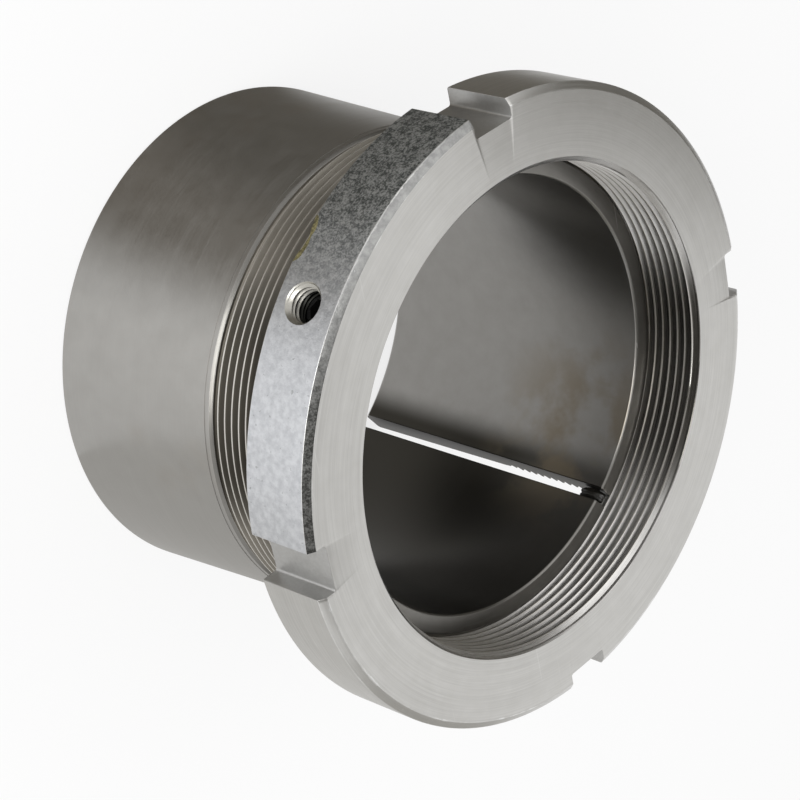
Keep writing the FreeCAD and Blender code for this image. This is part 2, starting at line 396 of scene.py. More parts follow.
# %% [markdown]
# A thread and a turned wall that share their end points become one closed shell when doubled
# points are merged. Then the faces can be turned outwards all at once, and a surface gets
# another steel simply by painting the faces that lie on it.

# %% Join walls into one closed shell
def closed_shell(name, meshes, close_rims=False):
    """Join meshes, merge the points they share, close open rims and turn the faces outwards."""
    steels = list(dict.fromkeys(steel for mesh in meshes for steel in mesh.materials))
    shell = bmesh.new()
    for mesh in meshes:
        start = len(shell.faces)
        shell.from_mesh(mesh)
        shell.faces.ensure_lookup_table()
        for face in shell.faces[start:]:
            face.material_index = steels.index(mesh.materials[face.material_index])
    bmesh.ops.remove_doubles(shell, verts=shell.verts, dist=0.002 * MM)
    bmesh.ops.dissolve_degenerate(shell, edges=shell.edges, dist=0.0005 * MM)
    if close_rims:
        rims = [edge for edge in shell.edges if edge.is_boundary]
        caps = bmesh.ops.holes_fill(shell, edges=rims, sides=0)["faces"]
        bmesh.ops.triangulate(shell, faces=caps)
    bmesh.ops.recalc_face_normals(shell, faces=shell.faces)
    open_edges = sum(1 for edge in shell.edges if not edge.is_manifold)
    mesh = bpy.data.meshes.new(name)
    shell.to_mesh(mesh)
    shell.free()
    for steel in steels:
        mesh.materials.append(steel)
    print(f"{name}: {len(mesh.polygons)} faces, {open_edges} open edges")
    return mesh


def axis_distance(face):
    return math.hypot(face.center.x, face.center.y)


def paint_faces(mesh, steel, chosen, only=None):
    """Give the chosen faces another steel, or only those that still have the steel `only`."""
    slot = len(mesh.materials)
    mesh.materials.append(steel)
    for face in mesh.polygons:
        if only in (None, mesh.materials[face.material_index]) and chosen(face):
            face.material_index = slot


def piece_from(mesh, name, sharp_from=38):
    """An object of the finished mesh, smooth except at its sharp edges."""
    mesh.name = name
    mesh.polygons.foreach_set("use_smooth", [True] * len(mesh.polygons))
    mesh.set_sharp_from_angle(angle=math.radians(sharp_from))
    piece = bpy.data.objects.new(name, mesh)
    bpy.context.scene.collection.objects.link(piece)
    return piece


print("closed_shell joins walls, piece_from makes the object")

# %% [markdown]
# ## The steels
# All of the part is bare steel, but each surface was cut in its own way: the sleeve is ground,
# the nut's face is turned, its slots are milled, its threads are cut, and one stretch of its rim
# is blasted. Each way of cutting leaves its own grain, so one shader group makes the rings that
# turning leaves, others make worn edges, stains and pits, and each steel mixes them.
# Groups only give masks and heights; the shader itself stays in the material.

# %% Shader group: rings left by turning
def value_group(name, inputs, outputs):
    tree = bpy.data.node_groups.new(name, "ShaderNodeTree")
    add_inputs(tree, inputs)
    for output in outputs:
        tree.interface.new_socket(output, in_out="OUTPUT", socket_type="NodeSocketFloat")
    given = place(tree, "NodeGroupInput").outputs
    result = place(tree, "NodeGroupOutput").inputs
    return tree, given, result


def axis_parts(tree):
    """Distance from the part's axis, height, and the direction's cosine and sine."""
    where = place(tree, "ShaderNodeTexCoord").outputs["Object"]
    split = place(tree, "ShaderNodeSeparateXYZ")
    feed(tree, split.inputs[0], where)
    x, y, z = split.outputs
    radius = calc(tree, "SQRT", calc(tree, "ADD", calc(tree, "MULTIPLY", x, x),
                                     calc(tree, "MULTIPLY", y, y)))
    radius = calc(tree, "MAXIMUM", radius, 1e-5)
    return where, radius, z, calc(tree, "DIVIDE", x, radius), calc(tree, "DIVIDE", y, radius)


def noise(tree, place_in, scale, detail=2.0, roughness=0.5, w=None):
    node = place(tree, "ShaderNodeTexNoise", noise_dimensions="4D" if w is not None else "3D")
    feed(tree, node.inputs["Vector"], place_in)
    if w is not None:
        feed(tree, node.inputs["W"], w)
    feed(tree, node.inputs["Scale"], scale)
    feed(tree, node.inputs["Detail"], detail)
    feed(tree, node.inputs["Roughness"], roughness)
    return node.outputs["Fac"]


def ramp(tree, value, low, high, to_low=0.0, to_high=1.0):
    node = place(tree, "ShaderNodeMapRange", interpolation_type="SMOOTHSTEP")
    for socket, number in zip(node.inputs, (value, low, high, to_low, to_high)):
        feed(tree, socket, number)
    return node.outputs[0]


def turned_rings():
    tree, given, result = value_group(
        "turned_rings", {"Rings per metre": 2500.0, "Change round": 3.0}, ["Height"])
    _, radius, height, cosine, sine = axis_parts(tree)
    point = place(tree, "ShaderNodeCombineXYZ")
    feed(tree, point.inputs["X"], calc(tree, "MULTIPLY", radius, given["Rings per metre"]))
    feed(tree, point.inputs["Y"], calc(tree, "MULTIPLY", cosine, given["Change round"]))
    feed(tree, point.inputs["Z"], calc(tree, "MULTIPLY", sine, given["Change round"]))
    climb = calc(tree, "MULTIPLY", height, given["Rings per metre"])
    feed(tree, result["Height"], noise(tree, point.outputs[0], 1.0, 3.0, 0.6, w=climb))
    return tree


turned_rings_group = turned_rings()
print("group:", turned_rings_group.name)

# %% [markdown]
# Worn edges, stains, pits and scratches could be painted by hand into pictures, but pictures
# blur when looked at closely. Noise in the object's own coordinates stays sharp, costs no file,
# and lies the same on every copy of the part. Each effect is one group with named inputs.

# %% Shader groups: worn edges and stains
def worn_edge():
    """Near the ring edge at a radius and height, a broken line of bare, bright nicks."""
    tree, given, result = value_group(
        "worn_edge", {"Radius": 0.1, "Height": 0.1, "Width": 0.0004, "Nicks": 0.5}, ["Mask"])
    where, radius, height, _, _ = axis_parts(tree)
    outwards = calc(tree, "SUBTRACT", radius, given["Radius"])
    upwards = calc(tree, "SUBTRACT", height, given["Height"])
    away = calc(tree, "SQRT", calc(tree, "ADD", calc(tree, "MULTIPLY", outwards, outwards),
                                   calc(tree, "MULTIPLY", upwards, upwards)))
    reach = calc(tree, "MULTIPLY", given["Width"],
                 ramp(tree, noise(tree, where, 260.0, 4.0, 0.7), 0.35, 0.75, 0.35, 3.2))
    near = ramp(tree, calc(tree, "DIVIDE", away, reach), 1.0, 0.35, 0.0, 1.0)
    patchy = ramp(tree, noise(tree, where, 60.0, 2.0), given["Nicks"],
                  calc(tree, "ADD", given["Nicks"], 0.18), 0.25, 1.0)
    feed(tree, result["Mask"], calc(tree, "MULTIPLY", near, patchy))
    return tree


def stains():
    tree, given, result = value_group(
        "stains", {"Size": 0.03, "Amount": 0.5, "Seed": 0.0}, ["Mask", "Mottle"])
    where = place(tree, "ShaderNodeTexCoord").outputs["Object"]
    scale = calc(tree, "DIVIDE", 1.0, given["Size"])
    broad = noise(tree, where, scale, 4.0, 0.55, w=given["Seed"])
    limit = calc(tree, "SUBTRACT", 0.75, calc(tree, "MULTIPLY", given["Amount"], 0.4))
    feed(tree, result["Mask"], ramp(tree, broad, limit, calc(tree, "ADD", limit, 0.2)))
    feed(tree, result["Mottle"], noise(tree, where, calc(tree, "MULTIPLY", scale, 7.0), 5.0, 0.6,
                                       w=given["Seed"]))
    return tree


worn_edge_group, stains_group = worn_edge(), stains()
print("groups:", worn_edge_group.name, stains_group.name)

# %% Shader groups: pits and scratches
def pits():
    tree, given, result = value_group(
        "pits", {"Grains per metre": 1400.0, "Pit amount": 0.4}, ["Grain", "Pits"])
    where = place(tree, "ShaderNodeTexCoord").outputs["Object"]
    feed(tree, result["Grain"], noise(tree, where, given["Grains per metre"], 4.0, 0.65))
    coarse = noise(tree, where, calc(tree, "MULTIPLY", given["Grains per metre"], 0.45), 2.0, 0.5)
    limit = calc(tree, "SUBTRACT", 0.78, calc(tree, "MULTIPLY", given["Pit amount"], 0.3))
    feed(tree, result["Pits"], ramp(tree, coarse, limit, calc(tree, "ADD", limit, 0.06)))
    return tree


def scratches():
    """Fine straight scratches in three directions, each a very long, thin noise."""
    tree, given, result = value_group(
        "scratches", {"Lines per metre": 900.0, "Amount": 0.4}, ["Mask"])
    where = place(tree, "ShaderNodeTexCoord").outputs["Object"]
    total = 0.0
    for turn, tilt in ((0.35, 0.1), (1.25, -0.2), (2.3, 0.15)):
        mapping = place(tree, "ShaderNodeMapping")
        feed(tree, mapping.inputs["Vector"], where)
        mapping.inputs["Rotation"].default_value = (tilt, 0.0, turn)
        mapping.inputs["Scale"].default_value = (1.0, 0.02, 1.0)
        lines = noise(tree, mapping.outputs[0], given["Lines per metre"], 1.0)
        limit = calc(tree, "SUBTRACT", 0.82, calc(tree, "MULTIPLY", given["Amount"], 0.12))
        total = calc(tree, "MAXIMUM", total,
                     ramp(tree, lines, limit, calc(tree, "ADD", limit, 0.03)))
    feed(tree, result["Mask"], total)
    return tree


pits_group, scratches_group = pits(), scratches()
print("groups:", pits_group.name, scratches_group.name)

# %% [markdown]
# All finishes start from the same bare metal: a metallic Principled shader, which spreads its
# reflections across the cutting lines where the steel was turned or ground. One function makes
# it and hands back its tree, so that each recipe below holds only what is its own.

# %% A plain steel to start from
def new_steel(name, roughness, grain_stretch):
    """A metal whose reflections spread across the cutting lines, which run round the axis."""
    steel = bpy.data.materials.new(name)
    steel.use_nodes = True
    tree = steel.node_tree
    tree.nodes.clear()
    shader = place(tree, "ShaderNodeBsdfPrincipled")
    shader.inputs["Metallic"].default_value = 1.0
    shader.inputs["Roughness"].default_value = roughness
    shader.inputs["Anisotropic"].default_value = grain_stretch
    if grain_stretch:
        shader.inputs["Anisotropic Rotation"].default_value = 0.25
        tangent = place(tree, "ShaderNodeTangent", direction_type="RADIAL", axis="Z")
        feed(tree, shader.inputs["Tangent"], tangent.outputs[0])
    output = place(tree, "ShaderNodeOutputMaterial")
    feed(tree, output.inputs["Surface"], shader.outputs[0])
    return steel, tree, shader


def use(tree, group, **values):
    node = place(tree, "ShaderNodeGroup")
    node.node_tree = group
    for name, number in values.items():
        feed(tree, node.inputs[name.replace("_", " ").capitalize()], number)
    return node.outputs


def mix(tree, share, low, high):
    """Blend two colours, each a tuple or an output."""
    node = place(tree, "ShaderNodeMix", data_type="RGBA")
    feed(tree, node.inputs["Factor"], share)
    for socket, colour in ((node.inputs[6], low), (node.inputs[7], high)):
        feed(tree, socket, (*colour, 1.0) if isinstance(colour, tuple) else colour)
    return node.outputs[2]


def bump(tree, height, distance, strength):
    node = place(tree, "ShaderNodeBump")
    feed(tree, node.inputs["Height"], height)
    node.inputs["Distance"].default_value = distance
    node.inputs["Strength"].default_value = strength
    return node.outputs[0]


print("new_steel, use, mix and bump ready")

# %% [markdown]
# ### Ground steel
# The taper was ground, which leaves very fine lines round it. A thin brown film of preserving
# oil has dried on it in patches. The lines go to the bump and to the roughness, and the film
# tints the base colour. Its finer mottle varies the roughness a little too.

# %% Ground steel of the taper
def ground_steel():
    steel, tree, shader = new_steel("ground_steel", 0.42, 0.6)
    steel_low, steel_high, dried_oil = (0.34, 0.33, 0.312), (0.41, 0.402, 0.385), (0.34, 0.295, 0.24)
    rings = use(tree, turned_rings_group, Rings_per_metre=3500.0, Change_round=2.0)["Height"]
    film = use(tree, stains_group, Size=0.05, Amount=0.5, Seed=2.0)
    base = mix(tree, film["Mottle"], steel_low, steel_high)
    base = mix(tree, calc(tree, "MULTIPLY", film["Mask"], 0.45), base, dried_oil)
    feed(tree, shader.inputs["Base Color"], base)
    feed(tree, shader.inputs["Roughness"],
         ramp(tree, calc(tree, "ADD", rings, calc(tree, "MULTIPLY", film["Mottle"], 0.6)),
              0.5, 1.2, 0.36, 0.5))
    feed(tree, shader.inputs["Normal"], bump(tree, rings, 0.00002, 0.6))
    return steel


sleeve_steel = ground_steel()
print("steel:", sleeve_steel.name)

# %% [markdown]
# ### Steel of the two threads
# The crests of a cut thread rub on everything and shine, and they get a painted highlight too,
# while its flanks stay dull. The crests are found by their distance from the axis. A painted shade,
# as a dark film of oil, lies on one side of the part: strongest in one direction from the axis, fading
# to both sides.

# %% Steel of the threads
SHADE_EDGE, SHADE_FULL = 0.809, 0.97  # cosines of 36 and 14 degrees from the painted shade's direction


def toward(tree, cosine, sine, degrees):
    """The cosine of the angle between a point's direction from the axis and a given one."""
    angle = math.radians(degrees)
    return calc(tree, "ADD", calc(tree, "MULTIPLY", cosine, math.cos(angle)),
                calc(tree, "MULTIPLY", sine, math.sin(angle)))


def thread_steel(name, base_low, base_high, roughness, crest, rub_and_highlight_depth, painted_shade_amount, painted_shade_angle):
    """Even along the flanks, rubbed and painted bright on the narrow crests, painted dark as shade
    round one angle.
    """
    steel, tree, shader = new_steel(name, roughness, 0.3)
    # The crest colour is rubbed steel and a painted highlight; the dark colour is painted shade.
    rubbed_and_highlight_bright, painted_shade_black = (0.6, 0.58, 0.54), (0.055, 0.05, 0.04)
    _, radius, _, cosine, sine = axis_parts(tree)
    rubbed_and_highlight = ramp(tree, radius, (crest - rub_and_highlight_depth) * MM, crest * MM)
    rings = use(tree, turned_rings_group, Rings_per_metre=5000.0, Change_round=3.0)["Height"]
    film = use(tree, stains_group, Size=0.02, Amount=0.4, Seed=5.0)
    base = mix(tree, film["Mottle"], base_low, base_high)
    # Painted shade, given as a dark oil film, strongest round one angle.
    oil_and_painted_shade = ramp(tree, toward(tree, cosine, sine, painted_shade_angle), SHADE_EDGE, SHADE_FULL)
    base = mix(tree, calc(tree, "MULTIPLY", oil_and_painted_shade, painted_shade_amount), base, painted_shade_black)
    feed(tree, shader.inputs["Base Color"], mix(tree, rubbed_and_highlight, base, rubbed_and_highlight_bright))
    feed(tree, shader.inputs["Roughness"],
         ramp(tree, rings, 0.3, 0.7, roughness - 0.06, roughness + 0.08))
    feed(tree, shader.inputs["Normal"], bump(tree, rings, 0.00002, 0.5))
    return steel


sleeve_thread_steel = thread_steel(
    "sleeve_thread_steel", (0.27, 0.25, 0.215), (0.34, 0.317, 0.28), 0.46,
    crest=THREAD_RADIUS - 0.01, rub_and_highlight_depth=0.08, painted_shade_amount=0.9, painted_shade_angle=160)
nut_thread_steel = thread_steel(
    "nut_thread_steel", (0.46, 0.45, 0.435), (0.61, 0.6, 0.585), 0.3,
    crest=NUT_THREAD_CREST, rub_and_highlight_depth=-0.25, painted_shade_amount=0.85, painted_shade_angle=-19)
print("steels:", sleeve_thread_steel.name, nut_thread_steel.name)

# %% [markdown]
# ### Steel of the bore and of the split
# The bore was only bored, not ground, and is smoother and darker. On one side of the split its
# wall is painted dark as shade over a thin film of oil, fully low down and a little less near the
# top, and there are brown stains near the nut. The angle round the axis and the height say where the
# painted shade lies, and noise breaks up the stains. The split was sawn, so its walls are grainy; they
# are painted dark as shade.

# %% Steel of the bore
SHADE_FADES_IN, SHADE_FADES_OUT = (-2.6, -1.9), (-0.76, -0.92)  # radians round the axis
STAIN_MIDDLE, STAIN_EDGE, STAIN_CORE = (0.052, -0.045, 0.092), 0.045, 0.006


def bored_steel():
    """Darker than the outside, painted dark as shade over a thin oil film on one side of the split,
    with brown stains.
    """
    steel, tree, shader = new_steel("bored_steel", 0.36, 0.6)
    steel_low, steel_high = (0.255, 0.247, 0.232), (0.32, 0.312, 0.298)
    # The near-black colour is painted shade over a thin oil film; the brown one is for stains.
    oil_and_painted_shade_dark, brown_stain = (0.038, 0.035, 0.029), (0.2, 0.165, 0.115)
    where, _, height, cosine, sine = axis_parts(tree)
    rings = use(tree, turned_rings_group, Rings_per_metre=3000.0, Change_round=2.0)["Height"]
    film = use(tree, stains_group, Size=0.04, Amount=0.4, Seed=4.0)
    base = mix(tree, film["Mottle"], steel_low, steel_high)
    away = place(tree, "ShaderNodeVectorMath", operation="DISTANCE")
    feed(tree, away.inputs[0], where)
    away.inputs[1].default_value = STAIN_MIDDLE
    near = ramp(tree, away.outputs["Value"], STAIN_EDGE, STAIN_CORE)
    patch = use(tree, stains_group, Size=0.02, Amount=0.85, Seed=7.0)["Mask"]
    angle = calc(tree, "ARCTAN2", sine, cosine)
    # Painted shade on one side of the split, full low down and a little less near the top.
    oil_and_painted_shade = calc(tree, "MULTIPLY", ramp(tree, angle, *SHADE_FADES_IN),
                 ramp(tree, angle, *SHADE_FADES_OUT))
    shade_by_height = ramp(tree, height, 0.06, 0.1, 1.0, 0.76)
    base = mix(tree, calc(tree, "MULTIPLY", oil_and_painted_shade, shade_by_height), base, oil_and_painted_shade_dark)
    stain = calc(tree, "MULTIPLY", calc(tree, "MULTIPLY", near, patch), 0.75)
    feed(tree, shader.inputs["Base Color"], mix(tree, stain, base, brown_stain))
    feed(tree, shader.inputs["Roughness"], ramp(tree, rings, 0.3, 0.7, 0.28, 0.31))
    feed(tree, shader.inputs["Normal"], bump(tree, rings, 0.000008, 0.4))
    return steel


bore_steel = bored_steel()
print("steel:", bore_steel.name)

# %% Plain grainy finishes: the sawn split, painted dark as shade, and the milled slots
def grainy_steel(name, roughness, grains, pit_amount, grain_low, grain_high, grain_height):
    """One colour that varies with a fine grain, which also roughens the surface."""
    steel, tree, shader = new_steel(name, roughness, 0.0)
    grain = use(tree, pits_group, Grains_per_metre=grains, Pit_amount=pit_amount)["Grain"]
    feed(tree, shader.inputs["Base Color"], mix(tree, grain, grain_low, grain_high))
    feed(tree, shader.inputs["Normal"], bump(tree, grain, grain_height, 0.5))
    return steel


# Sawn grain, painted near black as shade in the narrow split.
sawn_shaded_steel = grainy_steel("sawn_shaded_steel", 0.45, 1200.0, 0.2,
                          (0.04, 0.038, 0.034), (0.085, 0.082, 0.075), 0.00005)
slot_steel = grainy_steel("milled_steel", 0.42, 900.0, 0.2,
                          (0.4, 0.395, 0.385), (0.55, 0.55, 0.54), 0.00004)
print("steels:", sawn_shaded_steel.name, slot_steel.name)

# %% [markdown]
# ### Turned steel
# A lathe tool leaves rings on the nut's faces. They scatter light across themselves, which
# gives a turned face its two bright fans. The outer edges have been knocked in a few places,
# and handling has left fine scratches. The rear face, the sleeve's small end and the bevel below
# the sleeve's thread are the same steel painted dark as shade, so the one recipe takes its colours as
# inputs.

# %% Turned steel of the nut
NUT_EDGES = [(NUT_RADIUS, NUT_FACE - NUT_BEVEL_HEIGHT), (NUT_RADIUS - NUT_BEVEL_WIDTH, NUT_FACE),
             (NUT_RADIUS, NUT_BACK)]


def turned_steel(name, grain_stretch, base_low, base_high):
    steel, tree, shader = new_steel(name, 0.35, grain_stretch)
    groove_grey, nick_bright, scratch_pale = (0.28, 0.275, 0.26), (0.78, 0.78, 0.77), (0.72, 0.72, 0.7)
    rings = use(tree, turned_rings_group, Rings_per_metre=2600.0, Change_round=2.5)["Height"]
    film = use(tree, stains_group, Size=0.04, Amount=0.4, Seed=9.0)
    base = mix(tree, film["Mottle"], base_low, base_high)
    base = mix(tree, ramp(tree, rings, 0.3, 0.7, 0.0, 0.18), base, groove_grey)
    nicks = 0.0
    for radius, height in NUT_EDGES:
        edge = use(tree, worn_edge_group, Radius=radius * MM, Height=height * MM, Width=0.00022)
        nicks = calc(tree, "MAXIMUM", nicks, edge["Mask"])
    base = mix(tree, nicks, base, nick_bright)
    marks = use(tree, scratches_group, Amount=0.4)["Mask"]
    base = mix(tree, calc(tree, "MULTIPLY", marks, 0.3), base, scratch_pale)
    feed(tree, shader.inputs["Base Color"], base)
    feed(tree, shader.inputs["Roughness"], ramp(tree, rings, 0.3, 0.7, 0.28, 0.38))
    feed(tree, shader.inputs["Normal"], bump(tree, rings, 0.00002, 0.5))
    return steel


CLEAN_LOW, CLEAN_HIGH = (0.53, 0.522, 0.5), (0.62, 0.613, 0.595)
nut_steel = turned_steel("turned_steel", 0.6, CLEAN_LOW, CLEAN_HIGH)
bevel_steel = turned_steel("bevel_steel", 0.1, CLEAN_LOW, CLEAN_HIGH)
# Painted shade: dark colours for the nut's rear face, the sleeve's small end inside the nut and the
# bevel below the sleeve's thread.
painted_shade_steel = turned_steel("painted_shade_back_steel", 0.6, (0.17, 0.163, 0.15), (0.24, 0.232, 0.217))
print("steels:", nut_steel.name, bevel_steel.name, painted_shade_steel.name)

# %% [markdown]
# ### Blasted steel
# One stretch of the rim, between two slots, was shot-blasted: dark and speckled at one end and
# pale at the other. The bevel beside it fades the other way and is darker as painted shade, so one
# recipe serves both, with a sign for its direction. Two sizes of grain together look more like
# blasting than one does.

# %% Blasted steel of one stretch of rim
BLASTED_MIDDLE = math.radians(135)


def blasted_steel(name, way, darkest, dark_grain, pale_low, pale_high):
    """Shot-blasted: dark and speckled at one end, fading to a pale, smoother grey."""
    steel, tree, shader = new_steel(name, 0.55, 0.0)
    pit_grey, rubbed_and_highlight_bright = (0.3, 0.31, 0.31), (0.85, 0.85, 0.84)
    *_, cosine, sine = axis_parts(tree)
    grain = use(tree, pits_group, Grains_per_metre=1500.0, Pit_amount=0.3)
    film = use(tree, stains_group, Size=0.012, Amount=0.5, Seed=11.0)
    past_middle = calc(tree, "SUBTRACT", calc(tree, "MULTIPLY", sine, math.cos(BLASTED_MIDDLE)),
                       calc(tree, "MULTIPLY", cosine, math.sin(BLASTED_MIDDLE)))
    rim_radius, rim_height = NUT_EDGES[0]
    edge = use(tree, worn_edge_group, Radius=rim_radius * MM, Height=rim_height * MM,
               Width=0.0003)["Mask"]
    # A rubbed, bright line along the rim's edge, which is partly a painted highlight.
    rubbed_and_highlight = calc(tree, "MULTIPLY", edge, ramp(tree, past_middle, 0.05, -0.15))
    paler = calc(tree, "ADD", calc(tree, "MULTIPLY", past_middle, way),
                 calc(tree, "MULTIPLY", film["Mottle"], 0.25))
    fade = ramp(tree, paler, -0.22, 0.3)
    blotches = use(tree, pits_group, Grains_per_metre=450.0)["Grain"]
    speckle = calc(tree, "ADD", calc(tree, "MULTIPLY", grain["Grain"], 0.6),
                   calc(tree, "MULTIPLY", blotches, 0.4))
    dark = mix(tree, ramp(tree, speckle, 0.41, 0.6), darkest, dark_grain)
    pale = mix(tree, ramp(tree, blotches, 0.3, 0.7), pale_low, pale_high)
    pale = mix(tree, calc(tree, "MULTIPLY", grain["Pits"], 0.6), pale, pit_grey)
    base = mix(tree, rubbed_and_highlight, mix(tree, fade, dark, pale), rubbed_and_highlight_bright)
    feed(tree, shader.inputs["Base Color"], base)
    feed(tree, shader.inputs["Roughness"], ramp(tree, fade, 0.0, 1.0, 0.6, 0.42))
    coarse = calc(tree, "SUBTRACT", grain["Grain"], calc(tree, "MULTIPLY", grain["Pits"], 0.6))
    feed(tree, shader.inputs["Normal"], bump(tree, coarse, 0.00012, 0.7))
    return steel


rim_steel = blasted_steel("blasted_steel", 1.0, (0.11, 0.118, 0.116), (0.44, 0.45, 0.445),
                          (0.52, 0.53, 0.55), (0.66, 0.67, 0.69))
# The bevel beside the blasted stretch has darker colours than the rim: blasting, with painted shade.
blasted_shaded_bevel_steel = blasted_steel(
    "blasted_shaded_bevel_steel", -1.0, (0.045, 0.045, 0.042), (0.16, 0.16, 0.154),
    (0.3, 0.3, 0.295), (0.42, 0.42, 0.41))
print("steels:", rim_steel.name, blasted_shaded_bevel_steel.name)

# %% [markdown]
# ### The side hole and the chipped edge
# The tap broke out bright at the hole's rim, and further in the thread is painted black as shade.
# A scallop is missing from the nut's rear edge, and yellowish grease has dried in it. Grease is
# no metal, but steel shines through a thin crust, so it keeps a little of the metal's shine.

# %% Dried grease and the side hole's steel
HOLE_SHADE_FROM, HOLE_SHADE_TO = 94.8, 96.6  # where the hole turns from painted black shade to bright


def residue():
    """Dried yellowish grease left in a chipped edge."""
    crust, tree, shader = new_steel("dried_grease", 0.6, 0.0)
    shader.inputs["Metallic"].default_value = 0.3
    olive, mustard, dirt = (0.07, 0.06, 0.022), (0.25, 0.22, 0.1), (0.035, 0.03, 0.014)
    grain = use(tree, pits_group, Grains_per_metre=1600.0, Pit_amount=0.5)["Grain"]
    patch = use(tree, stains_group, Size=0.003, Amount=0.7, Seed=8.0)["Mask"]
    base = mix(tree, ramp(tree, grain, 0.36, 0.62), olive, mustard)
    base = mix(tree, calc(tree, "MULTIPLY", patch, 0.75), base, dirt)
    feed(tree, shader.inputs["Base Color"], base)
    feed(tree, shader.inputs["Normal"], bump(tree, grain, 0.0001, 0.8))
    return crust


def hole_thread_steel():
    """Bright where the tap broke out at the rim, painted black as shade further into the hole."""
    steel, tree, shader = new_steel("hole_thread_steel", 0.34, 0.0)
    painted_shade_black, bright_low, bright_high = (0.02, 0.02, 0.018), (0.34, 0.33, 0.3), (0.52, 0.505, 0.46)
    _, radius, *_ = axis_parts(tree)
    film = use(tree, stains_group, Size=0.004, Amount=0.5, Seed=6.0)
    bright = mix(tree, film["Mottle"], bright_low, bright_high)
    depth = calc(tree, "ADD", radius, calc(tree, "MULTIPLY", film["Mottle"], 0.0008))
    # Painted shade: the thread turns black deeper into the hole.
    shade_ends = ramp(tree, depth, HOLE_SHADE_FROM * MM, HOLE_SHADE_TO * MM)
    feed(tree, shader.inputs["Base Color"], mix(tree, shade_ends, painted_shade_black, bright))
    return steel


chip_crust, hole_steel = residue(), hole_thread_steel()
print("finishes:", chip_crust.name, hole_steel.name)

# %% [markdown]
# ### Screw, pad and a dark lump
# The screw is blackened against rust, and the pad is soft brass so that it can't hurt the
# thread. The lump in the split is nearly black and not metallic at all.

# %% Blackened screw, brass pad and a near-black lump
def dull_brass():
    brass, tree, shader = new_steel("dull_brass", 0.42, 0.0)
    film = use(tree, stains_group, Size=0.006, Amount=0.5, Seed=3.0)["Mottle"]
    feed(tree, shader.inputs["Base Color"], mix(tree, film, (0.5, 0.36, 0.13), (0.72, 0.55, 0.26)))
    feed(tree, shader.inputs["Normal"], bump(tree, film, 0.00003, 0.4))
    return brass


def near_black_lump():
    dark_lump, tree, shader = new_steel("near_black_lump", 0.4, 0.0)
    shader.inputs["Metallic"].default_value = 0.0
    grain = use(tree, pits_group, Grains_per_metre=1200.0, Pit_amount=0.4)["Grain"]
    feed(tree, shader.inputs["Base Color"],
         mix(tree, grain, (0.004, 0.004, 0.003), (0.02, 0.018, 0.014)))
    feed(tree, shader.inputs["Normal"], bump(tree, grain, 0.00015, 0.8))
    return dark_lump


screw_steel = grainy_steel("blackened_steel", 0.5, 2500.0, 0.3,
                           (0.02, 0.02, 0.02), (0.07, 0.07, 0.07), 0.00002)
pad_brass, dark_lump_finish = dull_brass(), near_black_lump()
print("finishes:", screw_steel.name, pad_brass.name, dark_lump_finish.name)

# %% [markdown]
# ## The sleeve
# One section goes once round from one wall of the split to the other: the thread first, then
# the end face, the bore, the large end, the taper, and the narrow land and bevel that lead
# down to the thread. The thread's ridge is full where it shows and trimmed to its middle line
# under the nut, so that the nut can turn there without its ridge cutting through this one.

# %% Sleeve: the thread
EDGE_BREAK = 0.25
sleeve_rule = {"first_angle": SPLIT_ANGLE, "gap": SPLIT_WIDTH, "edge_break": EDGE_BREAK}
sleeve_thread = threaded_wall(
    sleeve_thread_steel, side=1.0, crest_radius=THREAD_RADIUS, root_radius=THREAD_ROOT,
    crest_half_width=CREST_HALF_WIDTH, pitch=THREAD_PITCH, phase=FIRST_CREST - THREAD_WALL_START,
    start=THREAD_WALL_START, end=SLEEVE_LENGTH,
    start_radius=THREAD_ROOT, end_radius=SLEEVE_END_RADIUS,
    plateau_radius=SLEEVE_TRIM, plateau_edge=SLEEVE_TRIM_FROM, plateau_direction=-1.0,
    **sleeve_rule)
print("sleeve thread:", len(sleeve_thread.polygons), "faces")

# %% Sleeve: the turned walls
END_BREAK, MOUTH_BEVEL, BASE_BREAK = 0.6, 3.0, 0.8
LAND_FROM, LAND_RADIUS, LAND_END_RADIUS = TAPER_END + 0.02, THREAD_RADIUS - 0.2, THREAD_RADIUS - 0.25
TAPER_END_RADIUS, BEVEL_FOOT_RADIUS = THREAD_RADIUS - 0.05, THREAD_RADIUS - 1.1

sleeve_section = rounded([
    (SLEEVE_END_RADIUS, SLEEVE_LENGTH, 0),
    (BORE_RADIUS + END_BREAK, SLEEVE_LENGTH, 0.2),
    (BORE_RADIUS, SLEEVE_LENGTH - END_BREAK, 0.2),
    (BORE_RADIUS, MOUTH_BEVEL, 0.4),
    (BORE_RADIUS + MOUTH_BEVEL, 0.0, 0.4),
    (BASE_RADIUS - BASE_BREAK, 0.0, 0.2),
    (BASE_RADIUS - BASE_BREAK * TAPER, BASE_BREAK, 0.2),
    (TAPER_END_RADIUS, TAPER_END, 0),
    (LAND_RADIUS, LAND_FROM, 0),
    (LAND_END_RADIUS, END_BEVEL_FROM, 0.15),
    (BEVEL_FOOT_RADIUS, END_BEVEL_TO, 0.2),
    (THREAD_ROOT, THREAD_WALL_START - 0.1, 0.05),
    (THREAD_ROOT, THREAD_WALL_START, 0),
])
sleeve_walls = turned_wall(sleeve_section, sleeve_steel, **sleeve_rule)
sleeve_mesh = closed_shell("ground_sleeve", [sleeve_thread, sleeve_walls], close_rims=True)

# %% [markdown]
# Each surface of the sleeve now gets its own steel. A surface is found by where its faces lie
# and which way they look, a little inside its edges so that no face of the next one is taken.

# %% Sleeve: a steel for each surface
def in_bore(face):
    return axis_distance(face) < (BORE_RADIUS + 0.3) * MM


